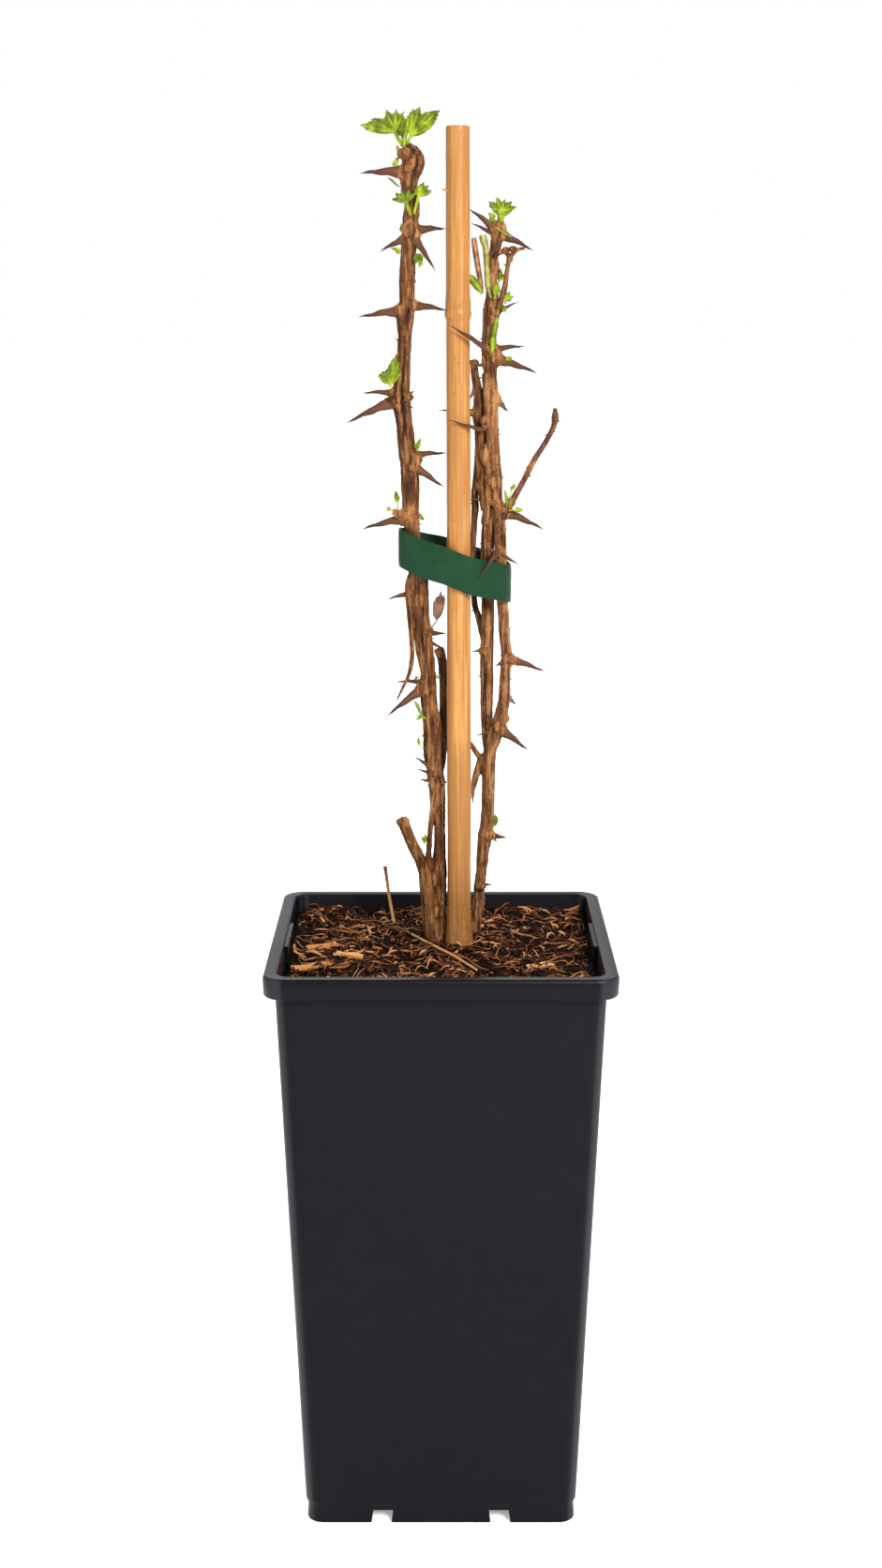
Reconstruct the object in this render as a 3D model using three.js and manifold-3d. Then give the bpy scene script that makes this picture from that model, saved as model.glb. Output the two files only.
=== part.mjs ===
// A potted gooseberry bush: two thorny groups of canes breaking into leaf, tied with a
// green plastic band to a bamboo stake, in a tall square nursery pot full of bark compost.
// Millimetres, +Z up. The origin is on the ground, under the middle of the pot, and the
// front of the pot faces -Y.
import * as THREE from "three";
import { mergeVertices } from "three/addons/utils/BufferGeometryUtils.js";
import Module from "manifold-3d";

const wasm = await Module();
wasm.setup();

// Driving dimensions of the pot.
const POT_HEIGHT = 221;
const RIM_HALF = 65;
const RIM_DROP = 7.8;
const RIM_SKIN = 1.4;
const WALL = 1.2;
const BODY_HALF_TOP = 61;
const BODY_HALF_FOOT = 52.1;
const FOOT_HALF = 51.5;
const FOOT_HEIGHT = 7.8;
const FLOOR_Z = 7;
const FLOOR_THICK = 1.6;
const CORNER_R = 7;
const NOTCH_FROM = 18.4;
const NOTCH_TO = 26;
const NOTCH_HEIGHT = 5;
const DRAIN_R = 3.2;
const DRAIN_SPACING = 33;
const LUG_HALF = 17;
const LUG_DEPTH = 1.3;
const SLIT = 1.2;
const SLIT_DEPTH = 3;

// Compost, stake and tie.
const COMPOST_TOP = 212;
const GAP = 0.35;
const STAKE_FOOT = [7.6, 4, 60];
const STAKE_HEAD = [6.0, 4, 522.5];
const STAKE_R_FOOT = 4.75;
const STAKE_R_HEAD = 4.35;
const STAKE_NODES = [100, 214, 455.5];
const STAKE_NODE_SWELL = 0.75;
const TIE_WIDTH = 14.2;
const TIE_THICK = 0.7;
const TIE_TOP_Z = 370.9;
const TIE_FALL_X = -0.355;
const TIE_RISE_Y = 0.1;
const TIE_LOOP = [
  [-15.1, 5.5], [-12.5, 1.2], [-4, -0.9], [6.5, -1.4], [15, 0.2], [21.9, 4.4],
  [25.8, 10.2], [24, 16.3], [17, 20.4], [10, 21.3], [0, 17.2], [-10, 11.8],
];

const COLOUR = {
  pot: 0x26262b,
  compost: 0x3a2417,
  bamboo: 0xd9995a,
  tie: 0x23492e,
  bark: 0x7f5a42,
  young: 0x6b4433,
  leaf: 0x7fae2a,
  bronze: 0x6d4a4a,
  chip: 0xb5793f,
};

// Stems: rows of x, y, z and radius along each centreline, from the foot upwards.
const STEMS = {
  left_cane: [
    [2, 11, 190, 3], [-1.5, 8.5, 214, 2.8], [-1.5, 8, 236, 3.1], [-1, 8, 256, 2.4],
    [-2, 7, 280, 3], [-4.3, 7, 303, 2.7], [-6.3, 7, 327, 3.4], [-9, 7, 349, 3.5],
    [-11, 6, 371, 2.9], [-12, 5, 388, 2.8], [-12, 4.8, 399, 3.1], [-14, 3.5, 418, 2.8],
    [-13.9, 2.5, 438, 2.4], [-13, 2, 458, 2.7], [-12, 1, 474, 2.6], [-11, 0.5, 489, 2.4],
    [-11.4, 0, 503, 3.2], [-11.2, 0, 509.5, 4.1], [-12.2, 0, 515, 2.3],
  ],
  left_stub: [
    [-1, 7, 200, 2.2], [-4.6, 5.5, 222, 2.3], [-5.2, 5, 238, 2.3], [-7.2, 4, 248, 2],
    [-10.5, 2, 256, 1.8], [-13.2, 1, 262, 1.8], [-14.6, 0.3, 266.5, 2.1],
  ],
  left_inner_shoot: [
    [-2, 8.5, 278, 1.2], [0, 11.2, 289, 1.3], [0.9, 12, 305, 1.3], [0.9, 12, 316, 1.2],
    [0.2, 12, 325, 1.1], [-0.9, 11, 330, 1.2],
  ],
  right_cane: [
    [8, 14, 190, 2.6], [12.5, 16, 212, 2.4], [15, 15.5, 234, 2.2], [17.2, 14, 256, 2.4],
    [19, 12, 283, 2.2], [23.5, 9.5, 304, 2.2], [25.3, 9.3, 321, 2.3], [24, 11, 340, 2],
    [22.6, 12, 360, 2], [22.6, 12, 378, 2.2], [20, 12, 406, 2.4], [18.2, 12, 434, 2.7],
    [18.3, 12, 458, 2.5], [19.6, 12, 472, 1.8], [22, 12, 488.5, 2.1],
  ],
  right_inner_cane: [
    [19.2, 12.5, 284, 1.6], [17.8, 14, 300, 2.2], [17.6, 15, 322, 2.4], [17.9, 15, 346, 2.4],
    [17.6, 14.5, 366, 2.4], [18.6, 13.4, 388, 2.3], [19.4, 12.6, 402, 1.8],
  ],
  right_back_cane: [
    [17, 16, 332, 1.4], [13, 18, 347, 1.1], [12.3, 17.4, 366, 1], [12.8, 16.5, 382, 1.3],
    [12.9, 15.7, 389, 1.2], [14.4, 14.1, 400, 1.8], [15, 13.8, 407, 2], [14.4, 13.9, 418, 2.1],
    [13.4, 13.6, 430, 1.5], [12.3, 13.5, 439, 1.3],
  ],
  right_twig: [
    [23.8, 9.6, 380, 1.1], [26.4, 8.2, 386, 1.1], [31.2, 6, 395, 0.9], [34.9, 5, 402.4, 0.95],
    [39, 4, 409, 0.85], [41.8, 3.2, 414.6, 0.85], [42.4, 3, 418, 1.3], [42.3, 3, 421.5, 0.6],
  ],
  right_dry_spur: [
    [20.5, 10.5, 455, 0.8], [23, 8.5, 463, 0.7], [24.4, 8, 471.5, 0.75], [25.3, 8, 475.5, 1],
    [28.2, 8, 478.2, 0.6], [31, 8, 479, 0.4],
  ],
};

// Stems that grew out of another one and are one piece with it.
const SIDE_STEMS = {
  left_cane: [
    [[-3, 8, 236, 1.6], [-5, 6.8, 250, 1.5], [-4.6, 6.2, 262, 1.4], [-2.6, 6.8, 273, 1]],
    [[-9.5, 6, 356, 1], [-12.2, 3.6, 347, 0.9], [-11, 3, 334, 0.8], [-11, 1.6, 325.5, 0.7],
      [-14.1, 0, 318.6, 0.6], [-17, -1, 313, 0.2]],
  ],
  right_dry_spur: [[[25.2, 8, 475, 0.7], [23.8, 8.8, 477.6, 0.7], [22.6, 9.3, 477.4, 0.6]]],
};

// Spines: height on the stem, then the tip's offset from the stem's middle, and the foot's radius.
const SPINES = {
  left_cane: [
    [506, -18.4, -3, -0.5, 1.7], [485.5, 13.2, -4, 0.5, 1.5], [485, 9.3, -8, -14, 1.3],
    [483.5, -10.8, -1, -5.5, 1.2], [457, -17.5, -2, -2.5, 1.5], [459, 15, -4, -2, 1.4],
    [425, -20.7, -4, -9, 1.7], [427, -15, 1, 0, 1.1], [424, 4.6, -3.4, -2.6, 0.8],
    [404, 15, 5.5, 0.5, 1.2], [401, 13.4, -1.5, -9, 1.5], [381, -19, -1, -4.5, 1.5],
    [353, -12, -2.5, -3, 1.1], [337, 9.2, -3.5, 0, 1.2], [335, 8.6, 1, -5, 0.8],
    [317, -16, -8, -11, 1.6], [318, -13, 1, 0, 0.9], [284, -8, -3, 5.5, 0.9],
    [282, -7.8, -4, 3, 0.7], [279, -7, -2, 1.5, 0.8], [470, 3, 15, -3, 1.3],
    [440, -5, 16, -5, 1.4], [407, -3, 16, -6, 1.4], [343, 3, 13, -5, 1.2], [300, -4, 14, -6, 1.3],
    [262, -4, 11, -2, 1],
  ],
  right_cane: [
    [485.5, -11, -4.5, 8, 1.2], [485, 13, -4, -6.5, 1.3], [484, -10, -1, 4.5, 0.8],
    [455, 9.8, -4, 5, 0.8], [455, -2, -4.5, 9, 0.8], [442.5, 13, -3, 1.5, 1.1],
    [440, 18, -4, -6, 1.6], [437, -7, -3.5, 0, 0.8], [383.5, 17.5, -3.5, -7.5, 1.6],
    [327, 15, -3, -5, 1.3], [326, -4.4, -4, -1.5, 0.9], [300, 12, -7, -8, 1.5],
    [300, -5, -5, 6.5, 1], [299, -8.6, -4.5, -2, 0.6], [257, 8.5, -3, -1, 1.3],
    [236, 5.2, -1, 0.5, 0.7], [474, 3, 12, -4, 1.1], [425, 6, 14, -6, 1.4], [312, 5, 12, -5, 1.3],
    [274, 3, 12, -4, 1.2],
  ],
  right_inner_cane: [[387, -8, -2.5, 0, 0.7], [329, -6.2, -2, 0, 0.7], [310, -1, 13, -4, 1.2]],
  right_back_cane: [[419, -15.5, -6.5, 1.5, 0.9], [428, -3, 13, -4, 1.1]],
};

// Spines that bend round the stake or over the tie, as routes from foot to tip with their radii.
const BENT_SPINES = {
  right_cane: [
    [[17.6, 11, 443.5, 1.1], [15.4, 4, 444, 1], [11.4, -1.8, 446.8, 0.8], [3.4, -2.6, 451.5, 0.15]],
    [[17.8, 11, 417.4, 1.1], [15.6, 6, 413.8, 1], [12.4, -0.2, 414.4, 0.8], [2.8, -2.2, 417.4, 0.15]],
    [[22.4, 11, 366, 1], [21.4, 5, 368.2, 1], [20, -0.8, 367, 0.9], [14.6, -3.4, 359.6, 0.25]],
    [[21.2, 3, 368, 0.8], [24.6, 1, 366.4, 0.7], [29, 0.6, 363.6, 0.15]],
    [[21.6, 6.5, 368, 0.8], [16.5, 6.2, 368.6, 0.6], [12.6, 6.8, 368.2, 0.15]],
  ],
};

// Leaves: foot of the stalk, tip of the middle lobe, blade width, stalk share of the length,
// turn about the leaf's own axis in degrees, colour.
const LEAVES = {
  leaf_tip_left_1: [[-13.9, -0.6, 516.4], [-24.6, -3, 527], 17, 0.42, -10, "leaf"],
  leaf_tip_left_2: [[-11.5, -0.4, 516.2], [-2.6, -2.5, 527.6], 15, 0.34, 12, "leaf"],
  leaf_tip_left_3: [[-12.7, -1.8, 516.6], [-12.2, -4.4, 526], 4.5, 0.3, 40, "leaf"],
  leaf_tip_left_4: [[-12.8, 1.9, 515.8], [-15.5, 11, 525], 10, 0.4, 180, "leaf"],
  leaf_upper_left_1: [[-11.2, -4.4, 490], [-17.4, -7.4, 499], 9.5, 0.45, -15, "leaf"],
  leaf_upper_left_2: [[-9.4, -4.2, 490.4], [-4, -5.4, 500], 8, 0.45, 20, "leaf"],
  leaf_upper_left_3: [[-15.6, 1, 499], [-20.2, 1.5, 505], 2.4, 0.3, 0, "leaf"],
  leaf_under_spine: [[-8, -2.2, 476], [-6.6, -3.6, 470], 3.2, 0.4, 0, "leaf"],
  leaf_left_mid: [[-18.3, 1.2, 431.2], [-17.6, 0.2, 441.8], 5.2, 0.12, 35, "leaf"],
  leaf_left_inner: [[-8.6, 1.6, 405.6], [-7.9, 1.2, 412], 3, 0.2, 0, "leaf"],
  leaf_left_low: [[-15.6, 3.6, 386.4], [-17.2, 3, 392], 3, 0.2, 0, "leaf"],
  leaf_left_back: [[-13, 7.6, 420], [-15, 15, 428], 8, 0.4, 180, "leaf"],
  leaf_bronze: [[-3, 4, 340.5], [-0.6, 3, 352.5], 4.6, 0.2, 30, "bronze"],
  leaf_low_left_1: [[-8.2, 2.6, 307.6], [-11.4, 1.4, 315], 2.6, 0.2, 30, "leaf"],
  leaf_low_left_2: [[-8.6, 4.6, 293.6], [-10.4, 4, 298.6], 2.4, 0.2, 0, "leaf"],
  leaf_stub: [[-7.6, 5, 253.6], [-8.4, 4.6, 259.6], 2.6, 0.2, 0, "leaf"],
  leaf_tip_right_1: [[21.6, 11, 491], [23.4, 9.4, 500.4], 11.5, 0.36, 0, "leaf"],
  leaf_tip_right_2: [[20.3, 10.2, 490.6], [17, 9, 495], 3.4, 0.3, 0, "leaf"],
  leaf_tip_right_3: [[22.6, 13.2, 490.8], [26, 18, 497.4], 8, 0.36, 180, "leaf"],
  leaf_right_blade: [[15.6, 9.1, 460.5], [14.9, 8.2, 483.5], 3, 0.3, 20, "leaf"],
  leaf_right_bract: [[14.7, 11.6, 461], [11.4, 10.6, 484], 3.2, 0.2, 30, "bark"],
  leaf_right_short: [[14.6, 6.8, 463.6], [10.6, 5.6, 471.6], 2.8, 0.2, 30, "leaf"],
  leaf_right_fan: [[20.2, 7.6, 462.4], [22.2, 4.4, 471.4], 6.4, 0.16, 30, "leaf"],
  leaf_right_side: [[24.3, 9.4, 460.4], [27.6, 8.6, 466.6], 5, 0.2, -20, "leaf"],
  leaf_right_upright: [[19.2, 8.4, 444.6], [20.4, 6.8, 457], 3.6, 0.12, 25, "leaf"],
  leaf_right_low: [[20.9, 9.3, 440.6], [26.2, 7.6, 442], 3.2, 0.3, 0, "leaf"],
  leaf_right_back: [[20.4, 15.4, 446], [24, 22, 455], 8, 0.4, 180, "leaf"],
  leaf_twig_1: [[24.4, 8.4, 386.4], [24.2, 6.6, 393], 2.8, 0.2, 10, "leaf"],
  leaf_twig_2: [[25.4, 6.6, 386], [27, 5.6, 393.4], 2.4, 0.3, 0, "leaf"],
  leaf_twig_3: [[26.6, 6.8, 383.4], [30.4, 6, 384.2], 2.2, 0.3, 0, "leaf"],
  leaf_low_right: [[20.4, 13.4, 258.6], [22, 13, 266.4], 2.8, 0.15, 20, "leaf"],
};

// Loose pieces on the compost: routes of the straws, and length, width, turn and place of the chips.
const STRAWS = {
  straw_standing: [[-18, 29, 212.8, 0.65], [-20.5, 28.5, 227, 0.6], [-22, 28, 238.5, 0.7], [-22.3, 28, 240.5, 0.9]],
  straw_long: [[-17, 30, 213.2, 0.5], [-9, 10.5, 214, 0.6], [-2, -3.5, 213.8, 0.65], [5, -15, 213.4, 0.6], [13.5, -28.5, 213, 0.5]],
};
const CHIPS = {
  bark_chip_1: [15, 4.4, 28, [-48.5, -22, 213.6]],
  bark_chip_2: [11, 3.4, 12, [-35.5, -9.5, 214.4]],
  bark_chip_3: [12, 3.6, -32, [-46, 6, 213.4]],
  bark_chip_4: [9, 3, 50, [32, 30, 213.6]],
  bark_chip_5: [10, 3.2, -18, [38, -20, 213.2]],
  bark_chip_6: [8, 2.8, 74, [-24, 44, 213.6]],
};
const CHIP_THICK = 1.4;

const CANE_SIDES = 8;
const SPINE_SIDES = 5;

// A geometry as a manifold-3d solid, with its shared vertices merged.
function solidOf(geometry) {
  const bare = geometry.index ? geometry.toNonIndexed() : geometry.clone();
  bare.deleteAttribute("normal");
  bare.deleteAttribute("uv");
  const merged = mergeVertices(bare, 1e-4);
  return new wasm.Manifold(
    new wasm.Mesh({
      numProp: 3,
      vertProperties: merged.attributes.position.array,
      triVerts: new Uint32Array(merged.index.array),
    }),
  );
}

function meshOf(name, solid, colour, roughness) {
  const made = solid.getMesh();
  const geometry = new THREE.BufferGeometry();
  geometry.setAttribute("position", new THREE.BufferAttribute(made.vertProperties, 3));
  geometry.setIndex(new THREE.BufferAttribute(made.triVerts, 1));
  geometry.computeVertexNormals();
  const material = new THREE.MeshStandardMaterial({ color: COLOUR[colour], roughness, metalness: 0 });
  const mesh = new THREE.Mesh(geometry, material);
  mesh.name = name;
  return mesh;
}

// A round stem of changing radius along rows of x, y, z, radius.
function stem(rows, sides, stepsPerRow, grow = 0) {
  const curve = new THREE.CatmullRomCurve3(rows.map(([x, y, z]) => new THREE.Vector3(x, y, z)));
  const steps = Math.round((rows.length - 1) * stepsPerRow);
  const frames = curve.computeFrenetFrames(steps, false);
  const tube = new THREE.CylinderGeometry(1, 1, 1, sides, steps);
  const spots = tube.attributes.position;
  const spot = new THREE.Vector3();
  for (let i = 0; i < spots.count; i++) {
    const [x, y, z] = [spots.getX(i), spots.getY(i), spots.getZ(i)];
    const step = Math.round((0.5 - y) * steps);
    const at = curve.getUtoTmapping(step / steps) * (rows.length - 1);
    const row = Math.min(Math.floor(at), rows.length - 2);
    const radius = grow + THREE.MathUtils.lerp(rows[row][3], rows[row + 1][3], at - row);
    curve.getPointAt(step / steps, spot);
    spot.addScaledVector(frames.normals[step], x * radius);
    spot.addScaledVector(frames.binormals[step], z * radius);
    spots.setXYZ(i, spot.x, spot.y, spot.z);
  }
  return solidOf(tube);
}

// The middle of a stem at a height.
function middleAt(name, height) {
  const rows = STEMS[name];
  const next = Math.max(1, rows.findIndex((row) => row[2] >= height));
  const [low, high] = [rows[next - 1], rows[next]];
  const share = (height - low[2]) / (high[2] - low[2]);
  return low.map((value, k) => THREE.MathUtils.lerp(value, high[k], share));
}

// A spine springs from the middle of its stem, sags a little and ends in a point.
function spine(name, [height, dx, dy, dz, foot], grow) {
  const [x, y, z] = middleAt(name, height);
  const sag = 0.06 * Math.hypot(dx, dy, dz);
  const rows = [
    [x, y, z, foot * 1.25],
    [x + 0.3 * dx, y + 0.3 * dy, z + 0.3 * dz + sag * 0.5, foot],
    [x + 0.62 * dx, y + 0.62 * dy, z + 0.62 * dz + sag, foot * 0.55],
    [x + dx, y + dy, z + dz, 0.14],
  ];
  return stem(rows, SPINE_SIDES, 1, grow);
}

// A whole stem with the side stems and spines that are one piece with it.
function growth(name, grow = 0) {
  const pieces = [stem(STEMS[name], CANE_SIDES, name.endsWith("cane") ? 2 : 1.5, grow)];
  for (const rows of SIDE_STEMS[name] ?? []) pieces.push(stem(rows, 6, 1.5, grow));
  for (const row of SPINES[name] ?? []) pieces.push(spine(name, row, grow));
  for (const rows of BENT_SPINES[name] ?? []) pieces.push(stem(rows, SPINE_SIDES, 2, grow));
  return pieces.reduce((whole, piece) => whole.add(piece));
}

// A square block with round corners whose half width goes from foot to head.
function block(halfFoot, halfHead, from, to, radius = CORNER_R) {
  const side = halfHead - radius;
  const outline = new THREE.Shape();
  outline.absarc(side, side, radius, 0, Math.PI / 2);
  outline.absarc(-side, side, radius, Math.PI / 2, Math.PI);
  outline.absarc(-side, -side, radius, Math.PI, 1.5 * Math.PI);
  outline.absarc(side, -side, radius, 1.5 * Math.PI, 2 * Math.PI);
  const geometry = new THREE.ExtrudeGeometry(outline, {
    depth: to - from,
    bevelEnabled: false,
    curveSegments: 4,
  });
  const spots = geometry.attributes.position;
  for (let i = 0; i < spots.count; i++) {
    const scale = spots.getZ(i) > (to - from) / 2 ? 1 : halfFoot / halfHead;
    spots.setXYZ(i, spots.getX(i) * scale, spots.getY(i) * scale, spots.getZ(i) + from);
  }
  return solidOf(geometry);
}

function box(x0, x1, y0, y1, z0, z1) {
  const geometry = new THREE.BoxGeometry(x1 - x0, y1 - y0, z1 - z0);
  geometry.translate((x0 + x1) / 2, (y0 + y1) / 2, (z0 + z1) / 2);
  return solidOf(geometry);
}

function drain(x, y) {
  const hole = new THREE.CylinderGeometry(DRAIN_R, DRAIN_R, 4 * FLOOR_THICK, 10);
  hole.rotateX(Math.PI / 2);
  hole.translate(x, y, FLOOR_Z);
  return solidOf(hole);
}

// Half width of the body's outside at a height.
function bodyHalf(z) {
  const share = (z - FOOT_HEIGHT) / (POT_HEIGHT - FOOT_HEIGHT);
  return THREE.MathUtils.lerp(BODY_HALF_FOOT, BODY_HALF_TOP, share);
}

// The pot: a tapered body, a turned-down rim, a foot ring with notches, a floor with drain
// holes, and a pair of stacking lugs inside the rim.
function pot() {
  const body = block(BODY_HALF_FOOT, BODY_HALF_TOP, FOOT_HEIGHT, POT_HEIGHT);
  const rim = block(RIM_HALF - 0.4, RIM_HALF, POT_HEIGHT - RIM_DROP, POT_HEIGHT - 1, CORNER_R + 2);
  const brow = block(RIM_HALF - 0.05, RIM_HALF - 0.8, POT_HEIGHT - 1.4, POT_HEIGHT, CORNER_R + 1.4);
  const channel = block(
    RIM_HALF - RIM_SKIN, RIM_HALF - RIM_SKIN, POT_HEIGHT - RIM_DROP - 1, POT_HEIGHT - RIM_SKIN - 0.6, CORNER_R + 1,
  ).subtract(block(bodyHalf(POT_HEIGHT - RIM_DROP - 2), BODY_HALF_TOP, POT_HEIGHT - RIM_DROP - 2, POT_HEIGHT));
  const foot = block(FOOT_HALF - 0.6, FOOT_HALF, 0, FOOT_HEIGHT + 0.5, CORNER_R - 1);
  const bore = block(bodyHalf(FOOT_HEIGHT) - WALL, BODY_HALF_TOP - WALL, FLOOR_Z + FLOOR_THICK, POT_HEIGHT + 0.01, CORNER_R - 1);
  const recess = block(FOOT_HALF - WALL - 1.4, FOOT_HALF - WALL - 0.8, -1, FLOOR_Z, CORNER_R - 2);
  let made = body.add(rim).add(brow).subtract(channel).add(foot).subtract(bore).subtract(recess);
  for (const from of [NOTCH_FROM, -NOTCH_TO]) {
    const to = from + NOTCH_TO - NOTCH_FROM;
    made = made.subtract(box(from, to, -RIM_HALF, RIM_HALF, -1, NOTCH_HEIGHT));
    made = made.subtract(box(-RIM_HALF, RIM_HALF, from, to, -1, NOTCH_HEIGHT));
  }
  for (const x of [-DRAIN_SPACING, 0, DRAIN_SPACING]) {
    for (const y of [-DRAIN_SPACING, 0, DRAIN_SPACING]) made = made.subtract(drain(x, y));
  }
  const inner = BODY_HALF_TOP - WALL;
  for (const side of [-1, 1]) {
    const [near, far] = [side * (inner - LUG_DEPTH), side * (inner + 0.6)].sort((a, b) => a - b);
    made = made.add(box(near, far, -LUG_HALF, LUG_HALF, COMPOST_TOP + 1, POT_HEIGHT - 0.8));
    const [from, to] = [side * (inner - 2), side * (inner + SLIT_DEPTH)].sort((a, b) => a - b);
    for (const end of [-LUG_HALF - SLIT, LUG_HALF]) {
      made = made.subtract(box(from, to, end, end + SLIT, POT_HEIGHT - 1.2, POT_HEIGHT + 1));
    }
  }
  return made;
}

// The bamboo stake: a straight round cane that swells at its nodes.
function stake(grow = 0) {
  const ring = (z, swell) => {
    const share = (z - STAKE_FOOT[2]) / (STAKE_HEAD[2] - STAKE_FOOT[2]);
    const [x, y] = [0, 1].map((k) => THREE.MathUtils.lerp(STAKE_FOOT[k], STAKE_HEAD[k], share));
    return [x, y, z, THREE.MathUtils.lerp(STAKE_R_FOOT, STAKE_R_HEAD, share) + swell + grow];
  };
  const rows = [ring(STAKE_FOOT[2], 0)];
  for (const z of STAKE_NODES) {
    rows.push(ring(z - 5, 0), ring(z - 1.2, STAKE_NODE_SWELL * 0.5), ring(z + 0.6, STAKE_NODE_SWELL), ring(z + 6, 0));
  }
  rows.push(ring(STAKE_HEAD[2], 0));
  const profile = [new THREE.Vector2(0, rows[0][2])];
  for (const row of rows) profile.push(new THREE.Vector2(row[3], row[2]));
  profile.push(new THREE.Vector2(0, STAKE_HEAD[2]));
  const lathe = new THREE.LatheGeometry(profile, 16);
  lathe.rotateX(Math.PI / 2);
  const spots = lathe.attributes.position;
  for (let i = 0; i < spots.count; i++) {
    const [x, y] = ring(spots.getZ(i), 0);
    spots.setXYZ(i, spots.getX(i) + x, spots.getY(i) + y, spots.getZ(i));
  }
  return solidOf(lathe);
}

// The tie: a flat plastic strip in a closed loop round the canes and the stake, lower on the right.
function tie() {
  const loop = new THREE.CatmullRomCurve3(TIE_LOOP.map(([x, y]) => new THREE.Vector3(x, y, 0)), true);
  const count = 40;
  const inside = [];
  const outside = [];
  for (let i = 0; i < count; i++) {
    const spot = loop.getPointAt(i / count);
    const along = loop.getTangentAt(i / count);
    inside.push(new THREE.Vector2(spot.x, spot.y));
    outside.push(new THREE.Vector2(spot.x + along.y * TIE_THICK, spot.y - along.x * TIE_THICK));
  }
  const outline = new THREE.Shape(outside);
  outline.holes.push(new THREE.Path(inside));
  const strip = new THREE.ExtrudeGeometry(outline, { depth: TIE_WIDTH, bevelEnabled: false });
  const spots = strip.attributes.position;
  for (let i = 0; i < spots.count; i++) {
    const rise = TIE_TOP_Z - TIE_WIDTH + TIE_FALL_X * spots.getX(i) + TIE_RISE_Y * spots.getY(i);
    spots.setZ(i, spots.getZ(i) + rise);
  }
  return solidOf(strip);
}

// A lobed leaf: a stalk, then a fan of five lobes folded along the middle rib.
function leaf([foot, tip, width, stalkShare, turn]) {
  const from = new THREE.Vector3(...foot);
  const to = new THREE.Vector3(...tip);
  const along = to.clone().sub(from);
  const length = along.length();
  along.normalize();
  const side = new THREE.Vector3(0, -1, 0).cross(along).normalize();
  side.applyAxisAngle(along, THREE.MathUtils.degToRad(turn));
  const face = new THREE.Vector3().crossVectors(side, along);
  const blade = length * (1 - stalkShare);
  const reach = [0.55, 0.4, 0.9, 0.62, 1, 0.62, 0.9, 0.4, 0.55];
  const outline = new THREE.Shape([new THREE.Vector2(-0.5, 0), new THREE.Vector2(0.5, 0)].concat(
    reach.map((share, k) => {
      const angle = THREE.MathUtils.lerp(-62, 62, k / (reach.length - 1)) * (Math.PI / 180);
      const wide = (width / 2 / Math.sin(THREE.MathUtils.degToRad(46))) * Math.sin(-angle);
      return new THREE.Vector2(wide * share / 0.9, blade * share * Math.cos(angle * 0.8));
    }),
  ));
  const plate = new THREE.ExtrudeGeometry(outline, { depth: 0.5, bevelEnabled: false });
  const spots = plate.attributes.position;
  const spot = new THREE.Vector3();
  for (let i = 0; i < spots.count; i++) {
    const [x, y, z] = [spots.getX(i), spots.getY(i), spots.getZ(i)];
    spot.copy(from).addScaledVector(along, length * stalkShare + y);
    spot.addScaledVector(side, x);
    spot.addScaledVector(face, z - 0.25 + 0.3 * Math.abs(x));
    spots.setXYZ(i, spot.x, spot.y, spot.z);
  }
  const end = from.clone().addScaledVector(along, length * stalkShare + 0.25 * blade);
  const stalk = stem([[...foot, 0.7], [...end.toArray(), 0.45]], 5, 1);
  return solidOf(plate).add(stalk);
}

// A flat splinter of bark with slanted ends.
function chip([length, width, turn, place]) {
  const [l, w] = [length / 2, width / 2];
  const outline = new THREE.Shape([
    new THREE.Vector2(-l, -0.4 * w), new THREE.Vector2(-0.5 * l, -w), new THREE.Vector2(0.8 * l, -0.7 * w),
    new THREE.Vector2(l, 0.2 * w), new THREE.Vector2(0.3 * l, w), new THREE.Vector2(-0.8 * l, 0.7 * w),
  ]);
  const splinter = new THREE.ExtrudeGeometry(outline, { depth: CHIP_THICK, bevelEnabled: false });
  splinter.rotateZ(THREE.MathUtils.degToRad(turn));
  splinter.translate(place[0], place[1], place[2] - CHIP_THICK / 2);
  return solidOf(splinter);
}

// The compost fills the pot to just under the rim, with room for what stands in it.
function compost() {
  const floor = FLOOR_Z + FLOOR_THICK + GAP;
  const half = (z) => bodyHalf(z) - WALL - GAP;
  let made = block(half(floor), half(COMPOST_TOP), floor, COMPOST_TOP, CORNER_R - 1.5);
  const buried = [stake(GAP)];
  for (const name of ["left_cane", "left_stub", "right_cane"]) buried.push(growth(name, GAP));
  for (const piece of buried) made = made.subtract(piece);
  return made;
}

const bush = new THREE.Group();
bush.add(meshOf("pot", pot(), "pot", 0.55));
bush.add(meshOf("compost", compost(), "compost", 0.95));
bush.add(meshOf("bamboo_stake", stake(), "bamboo", 0.5));
bush.add(meshOf("tie_band", tie(), "tie", 0.35));

// Each stem keeps clear of the ones before it.
const order = Object.keys(STEMS);
order.forEach((name, k) => {
  let made = growth(name);
  for (const other of order.slice(0, k)) made = made.subtract(growth(other, GAP));
  const largest = made.decompose().sort((a, b) => b.volume() - a.volume())[0];
  const colour = name === "right_twig" ? "young" : "bark";
  bush.add(meshOf(name, largest, colour, 0.8));
});

for (const [name, row] of Object.entries(LEAVES)) bush.add(meshOf(name, leaf(row), row[5], 0.5));
for (const [name, rows] of Object.entries(STRAWS)) bush.add(meshOf(name, stem(rows, 6, 1), "chip", 0.8));
for (const [name, row] of Object.entries(CHIPS)) bush.add(meshOf(name, chip(row), "chip", 0.85));

export default bush;
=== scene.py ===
"""A potted gooseberry bush: thorny canes breaking into leaf, tied to a bamboo stake in a black nursery pot.

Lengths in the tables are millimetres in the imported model's frame, which has +Z up and the pot's front at -Y.
"""

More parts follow.
